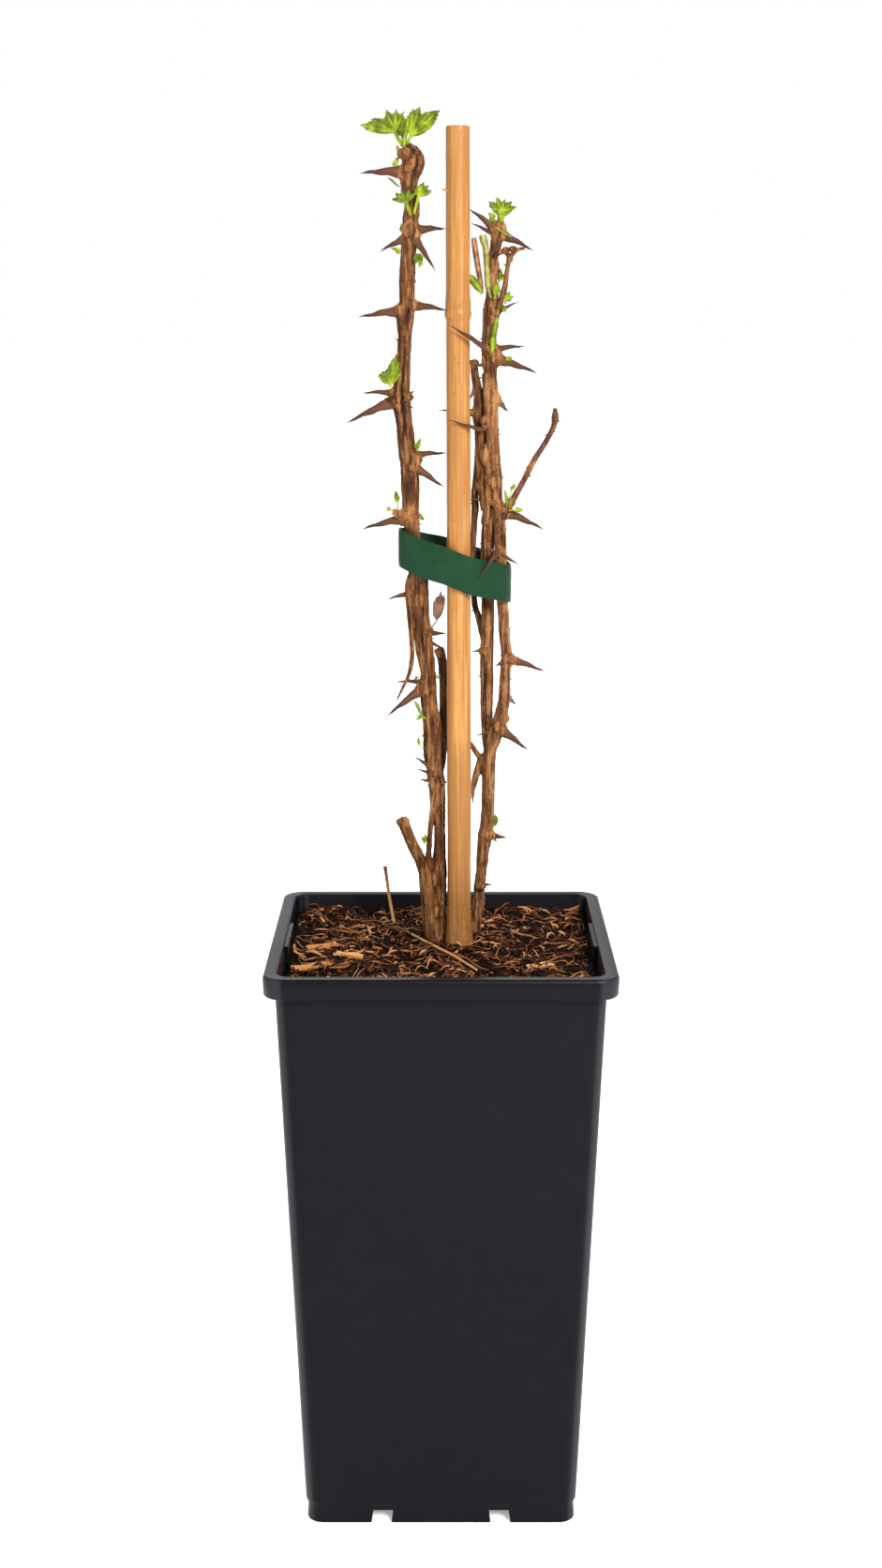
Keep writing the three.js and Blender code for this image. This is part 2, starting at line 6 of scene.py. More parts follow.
import math
from random import Random

import bmesh
import bpy
from bpy.props import FloatProperty, FloatVectorProperty, IntProperty, PointerProperty
from mathutils import Matrix, Vector, kdtree, noise


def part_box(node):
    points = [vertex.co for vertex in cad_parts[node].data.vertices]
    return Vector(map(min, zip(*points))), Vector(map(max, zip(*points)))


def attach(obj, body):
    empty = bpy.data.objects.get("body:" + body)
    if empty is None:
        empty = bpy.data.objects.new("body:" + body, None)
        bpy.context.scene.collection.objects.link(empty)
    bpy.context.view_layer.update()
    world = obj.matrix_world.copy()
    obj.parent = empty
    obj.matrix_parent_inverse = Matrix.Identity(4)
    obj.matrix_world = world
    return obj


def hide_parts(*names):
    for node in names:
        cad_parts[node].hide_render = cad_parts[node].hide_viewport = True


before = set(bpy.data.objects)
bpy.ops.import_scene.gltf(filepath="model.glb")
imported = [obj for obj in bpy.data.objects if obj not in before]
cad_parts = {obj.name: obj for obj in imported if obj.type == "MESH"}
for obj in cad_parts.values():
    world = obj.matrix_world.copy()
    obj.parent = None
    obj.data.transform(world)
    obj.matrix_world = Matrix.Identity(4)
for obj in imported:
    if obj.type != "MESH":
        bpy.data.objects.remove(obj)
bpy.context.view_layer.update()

bl_info = {
    "name": "Potted gooseberry bush",
    "version": (1, 0, 0),
    "blender": (4, 5, 0),
    "location": "3D View > Sidebar > Bush",
    "description": "Builds a potted gooseberry bush piece by piece around its packed model",
    "category": "Add Mesh",
}

MM = 0.001
UP = Vector((0, 0, 1))
FRONT = Vector((0, -1, 0))
MIX_A, MIX_B, MIXED = 6, 7, 2  # the colour sockets of a Mix node

# Stems: rows of x, y, z and radius along each centreline, from the foot upwards.
STEMS = {
    "left_cane": [
        (2, 11, 190, 3), (-0.6, 9, 212, 3.4), (-1.1, 8.6, 222, 3.2), (-1, 8.4, 229.7, 2.9),
        (-0.2, 8, 237.4, 2.3), (-0.9, 8, 243, 3.1), (-0.6, 8, 252.4, 2.3), (-0.5, 8, 261.7, 2.2),
        (-1.4, 7.6, 272.9, 2.9), (-1.9, 7, 281.2, 3.2), (-3.7, 7, 291.6, 2.9), (-3.5, 7, 299, 3.1),
        (-3.7, 6.8, 304.4, 3.1), (-4.6, 7, 310.7, 2.9), (-4.9, 7, 320.8, 2.8), (-5.9, 7, 328, 3.1),
        (-6.9, 7, 335.2, 3.4), (-7.8, 7, 342.4, 3.4), (-8.3, 6.6, 349.6, 3.7), (-8.7, 6, 358.6, 3.5),
        (-9.7, 5.6, 367.5, 2.8), (-10.8, 5.2, 376.4, 2.9), (-11.3, 5, 385.2, 3), (-11.6, 4.8, 394, 3.2),
        (-12.1, 4.8, 401, 3.1), (-13, 4.2, 409.7, 3), (-14, 3.8, 418.4, 2.9), (-14.6, 3.6, 423.5, 3.1),
        (-14.8, 3.5, 428.7, 3), (-14.1, 3.2, 433.8, 2.4), (-13.7, 3, 439, 2.4), (-13.4, 2.5, 446.8, 2.4),
        (-13.1, 2, 454.3, 3), (-12.4, 2, 460.4, 2.7), (-12.4, 1.5, 467.8, 2.7), (-12, 1, 476.1, 2.7),
        (-11.5, 1, 482.8, 2.9), (-11.1, 0.8, 488.5, 2.8), (-10.6, 0.6, 493.8, 2.6),
        (-11.3, 0.2, 499.4, 2.7), (-11.4, 0, 503.6, 3), (-10.7, 0, 506.6, 3.5), (-10, 0, 509.6, 4.2),
        (-10.6, 0, 512.4, 3.2), (-13, 0, 514.6, 2),
    ],
    "left_stub": [
        (-1, 7, 200, 2.2), (-4.6, 6, 222.8, 2.5), (-4.9, 5.5, 232.3, 2.6), (-5.7, 5, 240, 2.7),
        (-6.5, 4, 245.5, 2.4), (-8.5, 3, 250.2, 2.1), (-11, 2, 255.7, 2), (-13.2, 1, 261.1, 2),
        (-15.1, 0.3, 266, 2.2),
    ],
    "left_inner_shoot": [
        (-2, 8.5, 278, 1.4), (-0.2, 10, 285.5, 1.7), (0.7, 12, 294.3, 1.7), (0.9, 12, 305.4, 1.4),
        (0.9, 12, 316.3, 1.4), (0.5, 12, 325.5, 1.6), (-0.9, 11, 330.3, 1.9),
    ],
    "right_cane": [
        (8, 14, 190, 2.6), (14.3, 16, 223.9, 2.1), (15, 15.5, 233.6, 1.9), (15.7, 15, 241.3, 2),
        (16.4, 14.2, 249, 2.3), (17.1, 13.6, 256, 2.8), (17.8, 13.2, 260.6, 2.5), (18.2, 12.8, 268.2, 2.4),
        (18.4, 12, 279.5, 2.4), (18.9, 11.3, 290.8, 2.5), (20.3, 10.6, 295.3, 2.8), (21.6, 10, 300.2, 2.6),
        (23.3, 9.4, 305.8, 2.3), (24.4, 9.3, 313.1, 2.1), (24.7, 9.3, 322.2, 1.9), (25.1, 9.3, 327.7, 2),
        (24.4, 9.8, 334, 1.9), (23.7, 10.3, 343, 1.9), (23, 10.8, 356, 2), (22.8, 10.9, 363.4, 2.1),
        (22.2, 11, 377.7, 2.1), (21.2, 11.2, 386.5, 1.9), (21.6, 11, 394, 1.4), (21.3, 11, 400, 1.2),
        (20.8, 10.9, 406, 1.2), (20.3, 10.9, 413, 1.25), (19.9, 11, 423.3, 1.3), (18.9, 11.4, 431.9, 2),
        (18.3, 12, 437.6, 2.8), (18, 12, 443.3, 2.6), (18, 12, 447.4, 2.5), (18.5, 12, 452.6, 2.7),
        (18.8, 12, 457.7, 2.8), (19, 12, 462.8, 2.2), (19, 12, 467.2, 1.7), (19.4, 12, 472, 1.5),
        (19.6, 12, 477.1, 1.6), (20.3, 12, 480.8, 2), (21, 12, 484.5, 2.3), (21.8, 12, 489.4, 1.9),
    ],
    "right_inner_cane": [
        (19.2, 12.5, 284, 1.6), (17.8, 14, 300, 2.2), (17.6, 15, 322, 2.4), (17.9, 15, 346, 2.4),
        (17.6, 14.5, 366, 2.4), (18.6, 13.4, 388, 2.3), (19.4, 12.6, 402, 1.8),
    ],
    "right_back_cane": [
        (17, 16, 332, 1.4), (14.6, 17, 341.1, 1.1), (12.8, 18, 348.2, 1), (12.2, 17.4, 366.3, 1),
        (12.6, 16.8, 377.1, 1.05), (13, 16.4, 383.6, 1.3), (12.8, 15.8, 388.9, 1.2),
        (13.4, 15.2, 393.2, 1.4), (13.9, 14.6, 396.8, 1.6), (14.5, 14, 400.4, 1.9), (15, 13.8, 405.7, 2),
        (14.9, 13.8, 412.7, 2.2), (14.1, 14, 417.9, 2.2), (14.3, 13.6, 423.2, 1.9),
        (13.7, 13.6, 428.4, 1.5), (12.7, 13.6, 433.6, 1.35), (12.3, 13.5, 439, 1.3),
    ],
    "right_twig": [
        (23.8, 9.6, 380, 1.1), (26.4, 8.2, 386, 1.1), (31.2, 6, 395, 0.9), (34.9, 5, 402.4, 0.95),
        (39, 4, 409, 0.85), (41.8, 3.2, 414.6, 0.85), (42.4, 3, 418, 1.3), (42.3, 3, 421.5, 0.6),
    ],
    "right_dry_spur": [
        (20.5, 10.5, 454.5, 0.9), (22.1, 9.5, 460.1, 0.9), (23.5, 8.6, 465.2, 0.85), (24.1, 8, 469.6, 0.69),
        (24.6, 7.8, 472.9, 0.62), (25.3, 7.6, 475.6, 0.8), (26.8, 7.6, 477.8, 0.52), (28.5, 7.6, 479, 0.45),
        (30.9, 7.6, 479.4, 0.4),
    ],
}

# Stems that grew out of another one and are one piece with it.
SIDE_STEMS = {
    "left_cane": [
        [
            (-5.2, 6, 245, 1.3), (-4.9, 5.4, 248.9, 1.25), (-4.7, 5, 253.1, 1), (-4.3, 5, 258.7, 0.9),
            (-3.8, 5, 264.3, 0.9), (-3.2, 5.2, 270.5, 0.85), (-2.4, 5.8, 276, 0.8),
        ],
        [
            (-11, 4, 360, 1.1), (-12.6, 3.8, 355, 0.95), (-12, 3, 345, 0.9), (-11.2, 2.8, 336, 0.8),
            (-11, 1.6, 327.5, 0.75), (-12.4, 0.6, 321.5, 0.65), (-15, -0.4, 316, 0.5),
            (-17.2, -1, 311.6, 0.2),
        ],
        [
            (-1.2, 5.8, 306, 0.8), (-1.2, 5.2, 302.8, 1.05), (-0.6, 5, 295.6, 0.9), (-0.9, 4.8, 290.2, 1),
            (-1.4, 5, 285, 1),
        ],
    ],
    "right_cane": [
        [
            (17.3, 13, 377.5, 2), (17.8, 12, 384.7, 1.8), (18.3, 11.6, 391.8, 1.55),
            (18.1, 11.2, 397.1, 1.5), (18.3, 10.8, 405.9, 1.1), (18.1, 10.5, 412.9, 1.06),
            (17.2, 10.4, 423.3, 1.1), (16.8, 10.8, 431.9, 1.3),
        ],
        [
            (19.6, 13, 384, 2.2), (19.8, 13, 396, 2.1), (19.4, 13, 410, 2.2), (18.4, 12.8, 424, 2.4),
            (17.8, 12, 434, 2.6),
        ],
        [
            (18.4, 12, 288.6, 1.3), (15.6, 13, 287, 1.3), (14.2, 13.4, 282.2, 1.3), (13.1, 13, 278.6, 1.1),
            (12.4, 12.6, 273.8, 0.6), (12.2, 12.2, 269.4, 0.2),
        ],
        [(15.8, 13, 286.6, 1), (13.5, 13.4, 289.6, 0.95), (12.1, 13, 292.2, 0.8), (11, 12.6, 294, 0.6)],
    ],
    "right_back_cane": [
        [
            (14.9, 12.8, 401.5, 1.06), (15.4, 12.6, 397, 1.17), (15.3, 12.4, 392.8, 1.14),
            (15.6, 12.4, 388.2, 1.21), (16.5, 12.6, 382.8, 1.24),
        ],
    ],
    "right_dry_spur": [
        [
            (25.3, 7.6, 475.6, 0.7), (24.4, 7.8, 477.5, 0.7), (22.7, 8.6, 478.2, 0.7),
            (20.6, 10, 477.4, 0.9), (19.3, 11, 476, 0.9),
        ],
    ],
}

# Spines: height on the stem, then the tip's offset from the stem's middle, and the foot's radius.
SPINES = {
    "left_cane": [
        (506, -18.4, -3, -0.5, 1.7), (485.5, 13.2, -4, 0.5, 1.5), (485, 9.3, -8, -14, 1.3),
        (483.5, -10.8, -1, -5.5, 1.2), (457, -17.5, -2, -2.5, 1.5), (459, 15, -4, -2, 1.4),
        (425, -20.7, -4, -9, 1.7), (427, -15, 1, 0, 1.1), (424, 4.6, -3.4, -2.6, 0.8),
        (404, 15, 5.5, 0.5, 1.2), (401, 13.4, -1.5, -9, 1.5), (381, -19, -1, -4.5, 1.5),
        (353, -12, -2.5, -3, 1.1), (337, 9.2, -3.5, 0, 1.2), (335, 8.6, 1, -5, 0.8),
        (317, -16, -8, -11, 1.6), (318, -13, 1, 0, 0.9), (284, -8, -3, 5.5, 0.9), (282, -7.8, -4, 3, 0.7),
        (279, -7, -2, 1.5, 0.8), (470, 3, 15, -3, 1.3), (440, -5, 16, -5, 1.4), (407, -3, 16, -6, 1.4),
        (343, 3, 13, -5, 1.2), (300, -4, 14, -6, 1.3), (262, -4, 11, -2, 1),
    ],
    "right_cane": [
        (485.5, -11, -4.5, 8, 1.2), (485, 13, -4, -6.5, 1.3), (484, -10, -1, 4.5, 0.8),
        (455, 9.8, -4, 5, 0.8), (455, -2, -4.5, 9, 0.8), (442.5, 13, -3, 1.5, 1.1), (440, 18, -4, -6, 1.6),
        (437, -7, -3.5, 0, 0.8), (383.5, 17.5, -3.5, -7.5, 1.6), (327, 15, -3, -5, 1.3),
        (326, -4.4, -4, -1.5, 0.9), (300, 12, -7, -8, 1.5), (300, -5, -5, 6.5, 1),
        (299, -8.6, -4.5, -2, 0.6), (257, 8.5, -3, -1, 1.3), (236, 5.2, -1, 0.5, 0.7),
        (474, 3, 12, -4, 1.1), (425, 6, 14, -6, 1.4), (312, 5, 12, -5, 1.3), (274, 3, 12, -4, 1.2),
    ],
    "right_inner_cane": [(387, -8, -2.5, 0, 0.7), (329, -6.2, -2, 0, 0.7), (310, -1, 13, -4, 1.2)],
    "right_back_cane": [(419, -15.5, -6.5, 1.5, 0.9), (428, -3, 13, -4, 1.1)],
}

# Spines that bend round the stake or over the tie: rows of x, y, z and radius, from foot to tip.
BENT_SPINES = {
    "right_cane": [
        [(17.6, 11, 443.5, 1.1), (15.4, 4, 444, 1), (11.4, -1.8, 446.8, 0.8), (3.4, -2.6, 451.5, 0.15)],
        [(17.8, 11, 417.4, 1.1), (15.6, 6, 413.8, 1), (12.4, -0.2, 414.4, 0.8), (2.8, -2.2, 417.4, 0.15)],
        [(22.4, 11, 366, 1), (21.4, 5, 368.2, 1), (20, -0.8, 367, 0.9), (14.6, -3.4, 359.6, 0.25)],
        [(21.2, 3, 368, 0.8), (24.6, 1, 366.4, 0.7), (29, 0.6, 363.6, 0.15)],
        [(21.6, 6.5, 368, 0.8), (16.5, 6.2, 368.6, 0.6), (12.6, 6.8, 368.2, 0.15)],
    ],
}

# Knots, swollen nodes and pruning scars: middle, radius and how far each is squashed along the stem.
KNOTS = {
    "left_cane": [
        (-13.4, -1.2, 512.5, 2.6, 0.8), (-9.3, -1, 510.5, 2.9, 1), (-12, -2.6, 507, 2, 0.8),
        (-14.4, -0.6, 505.8, 2.2, 0.8), (-11.4, -1.6, 486, 3, 1.1), (-8.9, -0.6, 484, 2, 1),
        (-15.6, 0.6, 457, 2.1, 1), (-10.6, 0, 459, 2.2, 1.1), (-15.6, 1.6, 424.4, 2.4, 0.7),
        (-12.4, 0.4, 425.6, 2.6, 0.55), (-9.6, 2.4, 402.4, 2.7, 1), (-11, 1.4, 399.6, 2.2, 0.8),
        (-14, 3.4, 381.6, 2.6, 0.9), (-16.8, 3, 382.9, 1.7, 0.9), (-11.6, 2.4, 382.6, 2, 0.8),
        (-8, 4.4, 350, 2.6, 1.3), (-4.6, 4.8, 337.6, 2.2, 0.9), (-7, 4.6, 316.6, 2.6, 1),
        (-4, 5.4, 315, 2.2, 1), (-3, 5, 283, 2.4, 0.8), (0, 5.8, 279, 2.2, 0.7), (-4, 6.4, 240, 2.4, 1.2),
        (-1.6, 6.4, 228, 2.8, 1.4), (-2.2, 7, 216, 3.6, 1.2),
    ],
    "left_stub": [(-6, 4.4, 243, 2.2, 1.2), (-14.4, 0.2, 265.4, 2.2, 0.7)],
    "left_inner_shoot": [(-0.2, 11.4, 329, 1.5, 0.8), (-1, 10, 284, 1.5, 0.8)],
    "right_cane": [
        (21.6, 11, 486.6, 2.5, 0.9), (19.4, 10.6, 456.4, 2.6, 0.9), (20.2, 10.6, 440.4, 2.9, 0.9),
        (17.4, 10.4, 441.8, 2.2, 0.8), (16.4, 9.6, 416.6, 2, 0.9), (21, 10, 386, 2.8, 0.7),
        (23.6, 9.6, 383.6, 2.6, 0.8), (25.6, 7.8, 326.8, 2.3, 1), (22.6, 8, 300.6, 2.8, 1),
        (24.6, 8.6, 303.6, 2, 0.9), (18.8, 11.6, 257, 2.7, 0.8), (15.4, 13.6, 236, 2.4, 0.8),
        (20, 10.4, 394, 2.6, 1.4), (16.6, 11.4, 404, 2.2, 2),
    ],
    "right_inner_cane": [(16.6, 13, 329, 2.3, 0.9), (18.6, 11.6, 392, 2.2, 1.3), (18.4, 12.6, 300, 2.2, 1)],
    "right_back_cane": [(14.4, 13.6, 392, 1.9, 0.8), (12.6, 13.8, 438, 1.7, 0.6)],
    "right_twig": [(26.6, 8, 386.2, 1.5, 0.8), (33.2, 5.3, 399.4, 1.2, 0.7)],
    "right_dry_spur": [
        (25.3, 7.8, 475.4, 1.3, 0.7), (23.9, 8, 478.8, 1.5, 0.7), (26.4, 7.8, 479.2, 1.7, 0.6),
    ],
}

# Fan-shaped leaves: foot of the stalk, foot of the blade, radius of the stalk, how far the blade leans
# forward in degrees, how far it cups, and each rib's direction in degrees with its length.
FANS = {
    "leaf_tip_left_1": (
        (-13.9, -0.6, 515.1), (-16.6, -2, 519.9), 0.85, 18, 0.25,
        ((64, 7.7), (86, 7.9), (112, 8.4), (152, 9.9), (169, 12.5), (176, 5.9)),
    ),
    "leaf_tip_left_2": (
        (-12.6, -0.4, 515.4), (-11.0, -2, 518.4), 0.75, 14, 0.2,
        ((23, 5.3), (25, 9.0), (41, 14.1), (50, 11.5), (72, 11.0), (84, 9.8), (100, 6.7)),
    ),
    "leaf_tip_left_4": (
        (-13.4, 2.0, 515.8), (-14.2, 5, 519.1), 0.5, -45, 0.2,
        ((46, 5.4), (72, 7.9), (92, 9.1), (113, 7.8), (148, 6.0)),
    ),
    "leaf_upper_left_1": (
        (-10.9, -3.2, 490.6), (-12.6, -4.4, 495.2), 0.8, 40, 0.9,
        ((42, 5.3), (76, 5.0), (112, 4.9), (140, 5.3), (168, 5.4)),
    ),
    "leaf_upper_left_2": (
        (-9.9, -3, 491.0), (-8.2, -3.4, 497.5), 0.7, 10, 0.2,
        ((11, 3.3), (20, 5.4), (46, 5.4), (68, 5.5), (79, 4.5), (121, 2.6)),
    ),
    "leaf_under_spine": (
        (-8.5, -2.2, 476.7), (-8.2, -2.4, 475.5), 0.3, 20, 0.1,
        ((-84, 3.5), (-55, 2.9), (243, 1.7)),
    ),
    "leaf_left_mid": (
        (-19.1, 1.3, 429.1), (-18.6, 1, 430.0), 0.5, 8, 0.2,
        ((50, 3.4), (69, 6.4), (79, 11.4), (84, 8.8), (98, 6.9), (110, 4.8), (144, 2.6)),
    ),
    "leaf_left_inner": (
        (-8.7, 1.6, 405.3), (-8.8, 1.5, 406.2), 0.35, 6, 0.1,
        ((66, 1.7), (75, 4.7), (119, 2.8)),
    ),
    "leaf_left_low": (
        (-16.0, 3.4, 383.6), (-16.4, 3.3, 386.6), 0.35, 8, 0.1,
        ((65, 2.7), (97, 4.7), (118, 2.0)),
    ),
    "leaf_left_back": (
        (-12.8, 7.4, 422.0), (-13.9, 10, 424.0), 0.4, -45, 0.2,
        ((42, 5.2), (81, 7.0), (111, 6.7), (155, 5.0)),
    ),
    "leaf_bronze": (
        (-4.2, 5, 338.4), (-1.7, 3.8, 342.1), 0.4, 12, 0.15,
        ((67, 6.3), (74, 10.5), (81, 11.3), (91, 9.0), (101, 5.9)),
    ),
    "leaf_low_left_2": (
        (-6.6, 5.2, 292.4), (-8.1, 4.6, 293.8), 0.3, 8, 0.1,
        ((84, 2.1), (101, 3.5), (123, 2.5)),
    ),
    "leaf_stub": (
        (-6.2, 5, 254.2), (-6.4, 4.8, 255.4), 0.3, 8, 0.1,
        ((61, 2.3), (81, 4.0), (113, 3.4)),
    ),
    "leaf_tip_right_1": (
        (21.8, 11, 488.2), (22.3, 10.2, 492.5), 1.6, 16, 0.2,
        ((17, 5.9), (46, 5.6), (76, 4.8), (110, 5.8), (142, 6.2), (157, 5.2)),
    ),
    "leaf_tip_right_2": (
        (19.8, 10.2, 488.0), (19.5, 9.8, 489.8), 0.35, 10, 0.1,
        ((74, 1.7), (106, 2.9), (129, 3.4), (202, 2.5)),
    ),
    "leaf_tip_right_3": (
        (22.0, 13.4, 488.6), (22.4, 15.4, 491.1), 0.45, -45, 0.2,
        ((31, 5.2), (67, 6.2), (100, 6.1), (139, 5.1)),
    ),
    "leaf_right_fan": (
        (19.8, 7.6, 461.1), (19.9, 7, 462.6), 0.5, 24, 0.3,
        ((36, 2.9), (65, 4.1), (83, 4.7), (100, 3.1)),
    ),
    "leaf_right_side": (
        (23.8, 9.4, 459.4), (23.8, 9.2, 460.6), 0.4, 16, 0.3,
        ((0, 1.9), (30, 3.5), (63, 4.0), (84, 3.6)),
    ),
    "leaf_right_back": (
        (20.8, 15, 465.9), (21.9, 17, 468.0), 0.4, -45, 0.2,
        ((38, 4.4), (86, 4.8), (139, 4.2)),
    ),
    "leaf_right_low": (
        (23.8, 9.3, 438.8), (24.2, 9, 439.1), 0.3, 12, 0.1,
        ((-7, 2.2), (24, 2.7), (58, 2.1)),
    ),
    "leaf_twig_2": (
        (24.7, 6.8, 384.6), (26.4, 6.4, 390.7), 0.32, 4, 0.1,
        ((49, 2.8), (65, 3.3), (104, 1.7)),
    ),
    "leaf_twig_3": (
        (25.6, 6.8, 383.3), (27.7, 6.5, 383.7), 0.32, 4, 0.1,
        ((-43, 1.7), (0, 3.3), (50, 1.6)),
    ),
    "leaf_low_right": (
        (20.2, 13.4, 259.0), (20.4, 13.2, 260.0), 0.35, 8, 0.1,
        ((51, 1.9), (68, 4.8), (80, 5.5), (91, 3.3)),
    ),
}

# Strap-shaped leaves and scales: rows of x, y, z and half width, from foot to tip.
STRAPS = {
    "leaf_tip_left_3": [
        (-13.4, -1.8, 514.7, 0.81), (-13.2, -2.4, 517.3, 0.88), (-12.7, -3, 519.8, 0.81),
        (-12.1, -3.3, 522.4, 0.57), (-11.7, -3.4, 524.8, 0.1),
    ],
    "leaf_upper_left_3": [
        (-15.0, 0.8, 500.9, 0.17), (-16.4, 0.8, 501.8, 0.41), (-17.9, 0.9, 503.2, 0.38),
        (-19.6, 1, 504.3, 0.07),
    ],
    "leaf_low_left_1": [
        (-5.8, 4, 304.6, 0.3), (-7.2, 2.8, 305.8, 0.36), (-8.2, 2.4, 307.8, 0.64), (-9.1, 2, 310.0, 0.68),
        (-10.6, 1.6, 312.1, 0.11),
    ],
    "leaf_right_blade": [
        (18.4, 8.9, 461.4, 0.56), (17.4, 8.7, 466.5, 1.25), (16.9, 8.5, 472.9, 1.07),
        (16.5, 8.4, 479.4, 1.14), (15.6, 8.3, 482.7, 1.45), (15.4, 8.3, 484.2, 1.24),
    ],
    "leaf_right_bract": [
        (15.3, 11, 463.5, 0.49), (14.7, 10.9, 466.9, 0.87), (13.6, 10.7, 473.0, 1.04),
        (12.7, 10.6, 478.7, 1.11), (12.1, 10.5, 482.8, 0.94), (12.1, 10.5, 483.3, 0.69),
    ],
    "leaf_right_short": [
        (15.3, 6.9, 463.1, 0.52), (13.2, 6.4, 466.0, 1.45), (11.5, 6.2, 468.2, 1.45),
        (9.7, 5.9, 470.5, 0.17),
    ],
    "leaf_right_upright": [
        (18.9, 8.3, 441.6, 0.84), (19.3, 7.6, 446.8, 1.15), (20.1, 7.1, 451.2, 1.01),
        (20.8, 6.8, 454.8, 0.17),
    ],
    "leaf_twig_1": [
        (25.1, 8.4, 382.5, 0.6), (24.8, 8.1, 386.4, 0.78), (24.4, 7.6, 389.1, 0.57), (23.9, 7, 391.3, 0.11),
    ],
}

# Buds at the nodes, in the same form as the fan-shaped leaves.
BUDS = [
    ((-14.6, -0.4, 507.4), (-15.9, -0.6, 508.5), 0.5, 16, 0.3, ((79, 3.5), (101, 2.7), (184, 1.1))),
    ((-14.6, -0.6, 513.2), (-15.2, -0.8, 514.1), 0.3, 6, 0.1, ((80, 1.1), (132, 1.7), (186, 1.3))),
    ((-13.9, 0, 484.3), (-14.1, -0.2, 484.9), 0.3, 6, 0.1, ((73, 1.9), (96, 3.3), (131, 1.7))),
    ((-14.4, -0.6, 479.1), (-14.8, -0.8, 479.0), 0.3, 6, 0.1, ((176, 3.6), (212, 2.3), (255, 2.3))),
    ((-18.3, 2.8, 383.8), (-18.9, 2.6, 384.0), 0.5, 6, 0.4, ((102, 1.6), (151, 2.0), (198, 1.7))),
    ((-9.6, 5.4, 379.2), (-7.6, 4.6, 380.2), 0.2, 6, 0.1, ((8, 1.4), (85, 2.5), (104, 2.7))),
    ((-5.8, 4, 304.2), (-7.3, 3.2, 305.0), 0.3, 6, 0.1, ((112, 1.5), (150, 2.2), (199, 2.6))),
    ((-6.6, 3.4, 245.4), (-8.2, 2.4, 246.4), 0.3, 6, 0.1, ((96, 1.4), (133, 2.1), (162, 1.7))),
    ((20.3, 12.6, 256.0), (20.5, 12.4, 255.7), 0.3, 6, 0.1, ((-90, 1.8), (-45, 2.0), (-2, 1.2))),
    ((23.1, 9, 458.2), (23.3, 8.8, 457.8), 0.3, 6, 0.1, ((-69, 1.9), (3, 1.4), (247, 1.5))),
    ((20.0, 8.8, 486.9), (24.5, 8.6, 484.0), 0.4, 6, 0.3, ((-14, 1.7), (34, 1.3), (113, 1.2))),
    ((-0.6, 5, 319.6), (-1.1, 4.8, 320.2), 0.3, 6, 0.1, ((48, 1.3), (111, 1.5), (195, 1.1))),
    ((-9.6, 5, 319.5), (-9.3, 4.8, 319.8), 0.3, 6, 0.1, ((39, 1.4), (111, 1.3), (193, 1.2))),
]
BRONZE_LEAVES = ("leaf_bronze", "leaf_right_bract")

STRAWS = {
    "straw_standing": [
        (-18, 29, 212.8, 0.65), (-20.5, 28.5, 227, 0.6), (-22, 28, 238.5, 0.7), (-22.3, 28, 240.5, 0.9),
    ],
    "straw_long": [
        (-17, 30, 215, 0.5), (-9, 10.5, 216, 0.6), (-2, -3.5, 216.2, 0.65), (5, -15, 215.8, 0.6),
        (13.5, -28.5, 214.2, 0.5),
    ],
}
CHIPS = [f"bark_chip_{number}" for number in range(1, 7)]


# ---------------------------------------------------------------- materials


def rgb(hex_code, alpha=1.0):
    """An sRGB hex colour as linear RGBA."""
    parts = [int(hex_code[k:k + 2], 16) / 255 for k in (1, 3, 5)]
    return (*(p / 12.92 if p <= 0.04045 else ((p + 0.055) / 1.055) ** 2.4 for p in parts), alpha)


def plug(tree, node, inputs):
    """Feed a node's inputs with values, sockets or other nodes; a node stands for its first output."""
    for socket, value in inputs.items():
        if isinstance(value, bpy.types.Node):
            value = value.outputs[0]
        if isinstance(value, bpy.types.NodeSocket):
            tree.links.new(value, node.inputs[socket])
        else:
            node.inputs[socket].default_value = value


def add(tree, kind, inputs=None, stops=None, **settings):
    """Add a node with its settings, its inputs and, for a ramp, its stops of place and colour."""
    made = tree.nodes.new("ShaderNode" + kind)
    for name, value in settings.items():
        setattr(made, name, value)
    plug(tree, made, inputs or {})
    if stops:
        ramp = made.color_ramp.elements
        while len(ramp) < len(stops):
            ramp.new(1.0)
        for element, (place, colour) in zip(ramp, stops):
            element.position = place
            element.color = colour
    return made


def blank(name):
    """A new material with only a surface shader and its output, and Object coordinates for its patterns."""
    material = bpy.data.materials.new(name)
    material.use_nodes = True
    tree = material.node_tree
    tree.nodes.clear()
    shader = add(tree, "BsdfPrincipled")
    add(tree, "OutputMaterial", {"Surface": shader})
    return material, tree, shader, add(tree, "TexCoord").outputs["Object"]


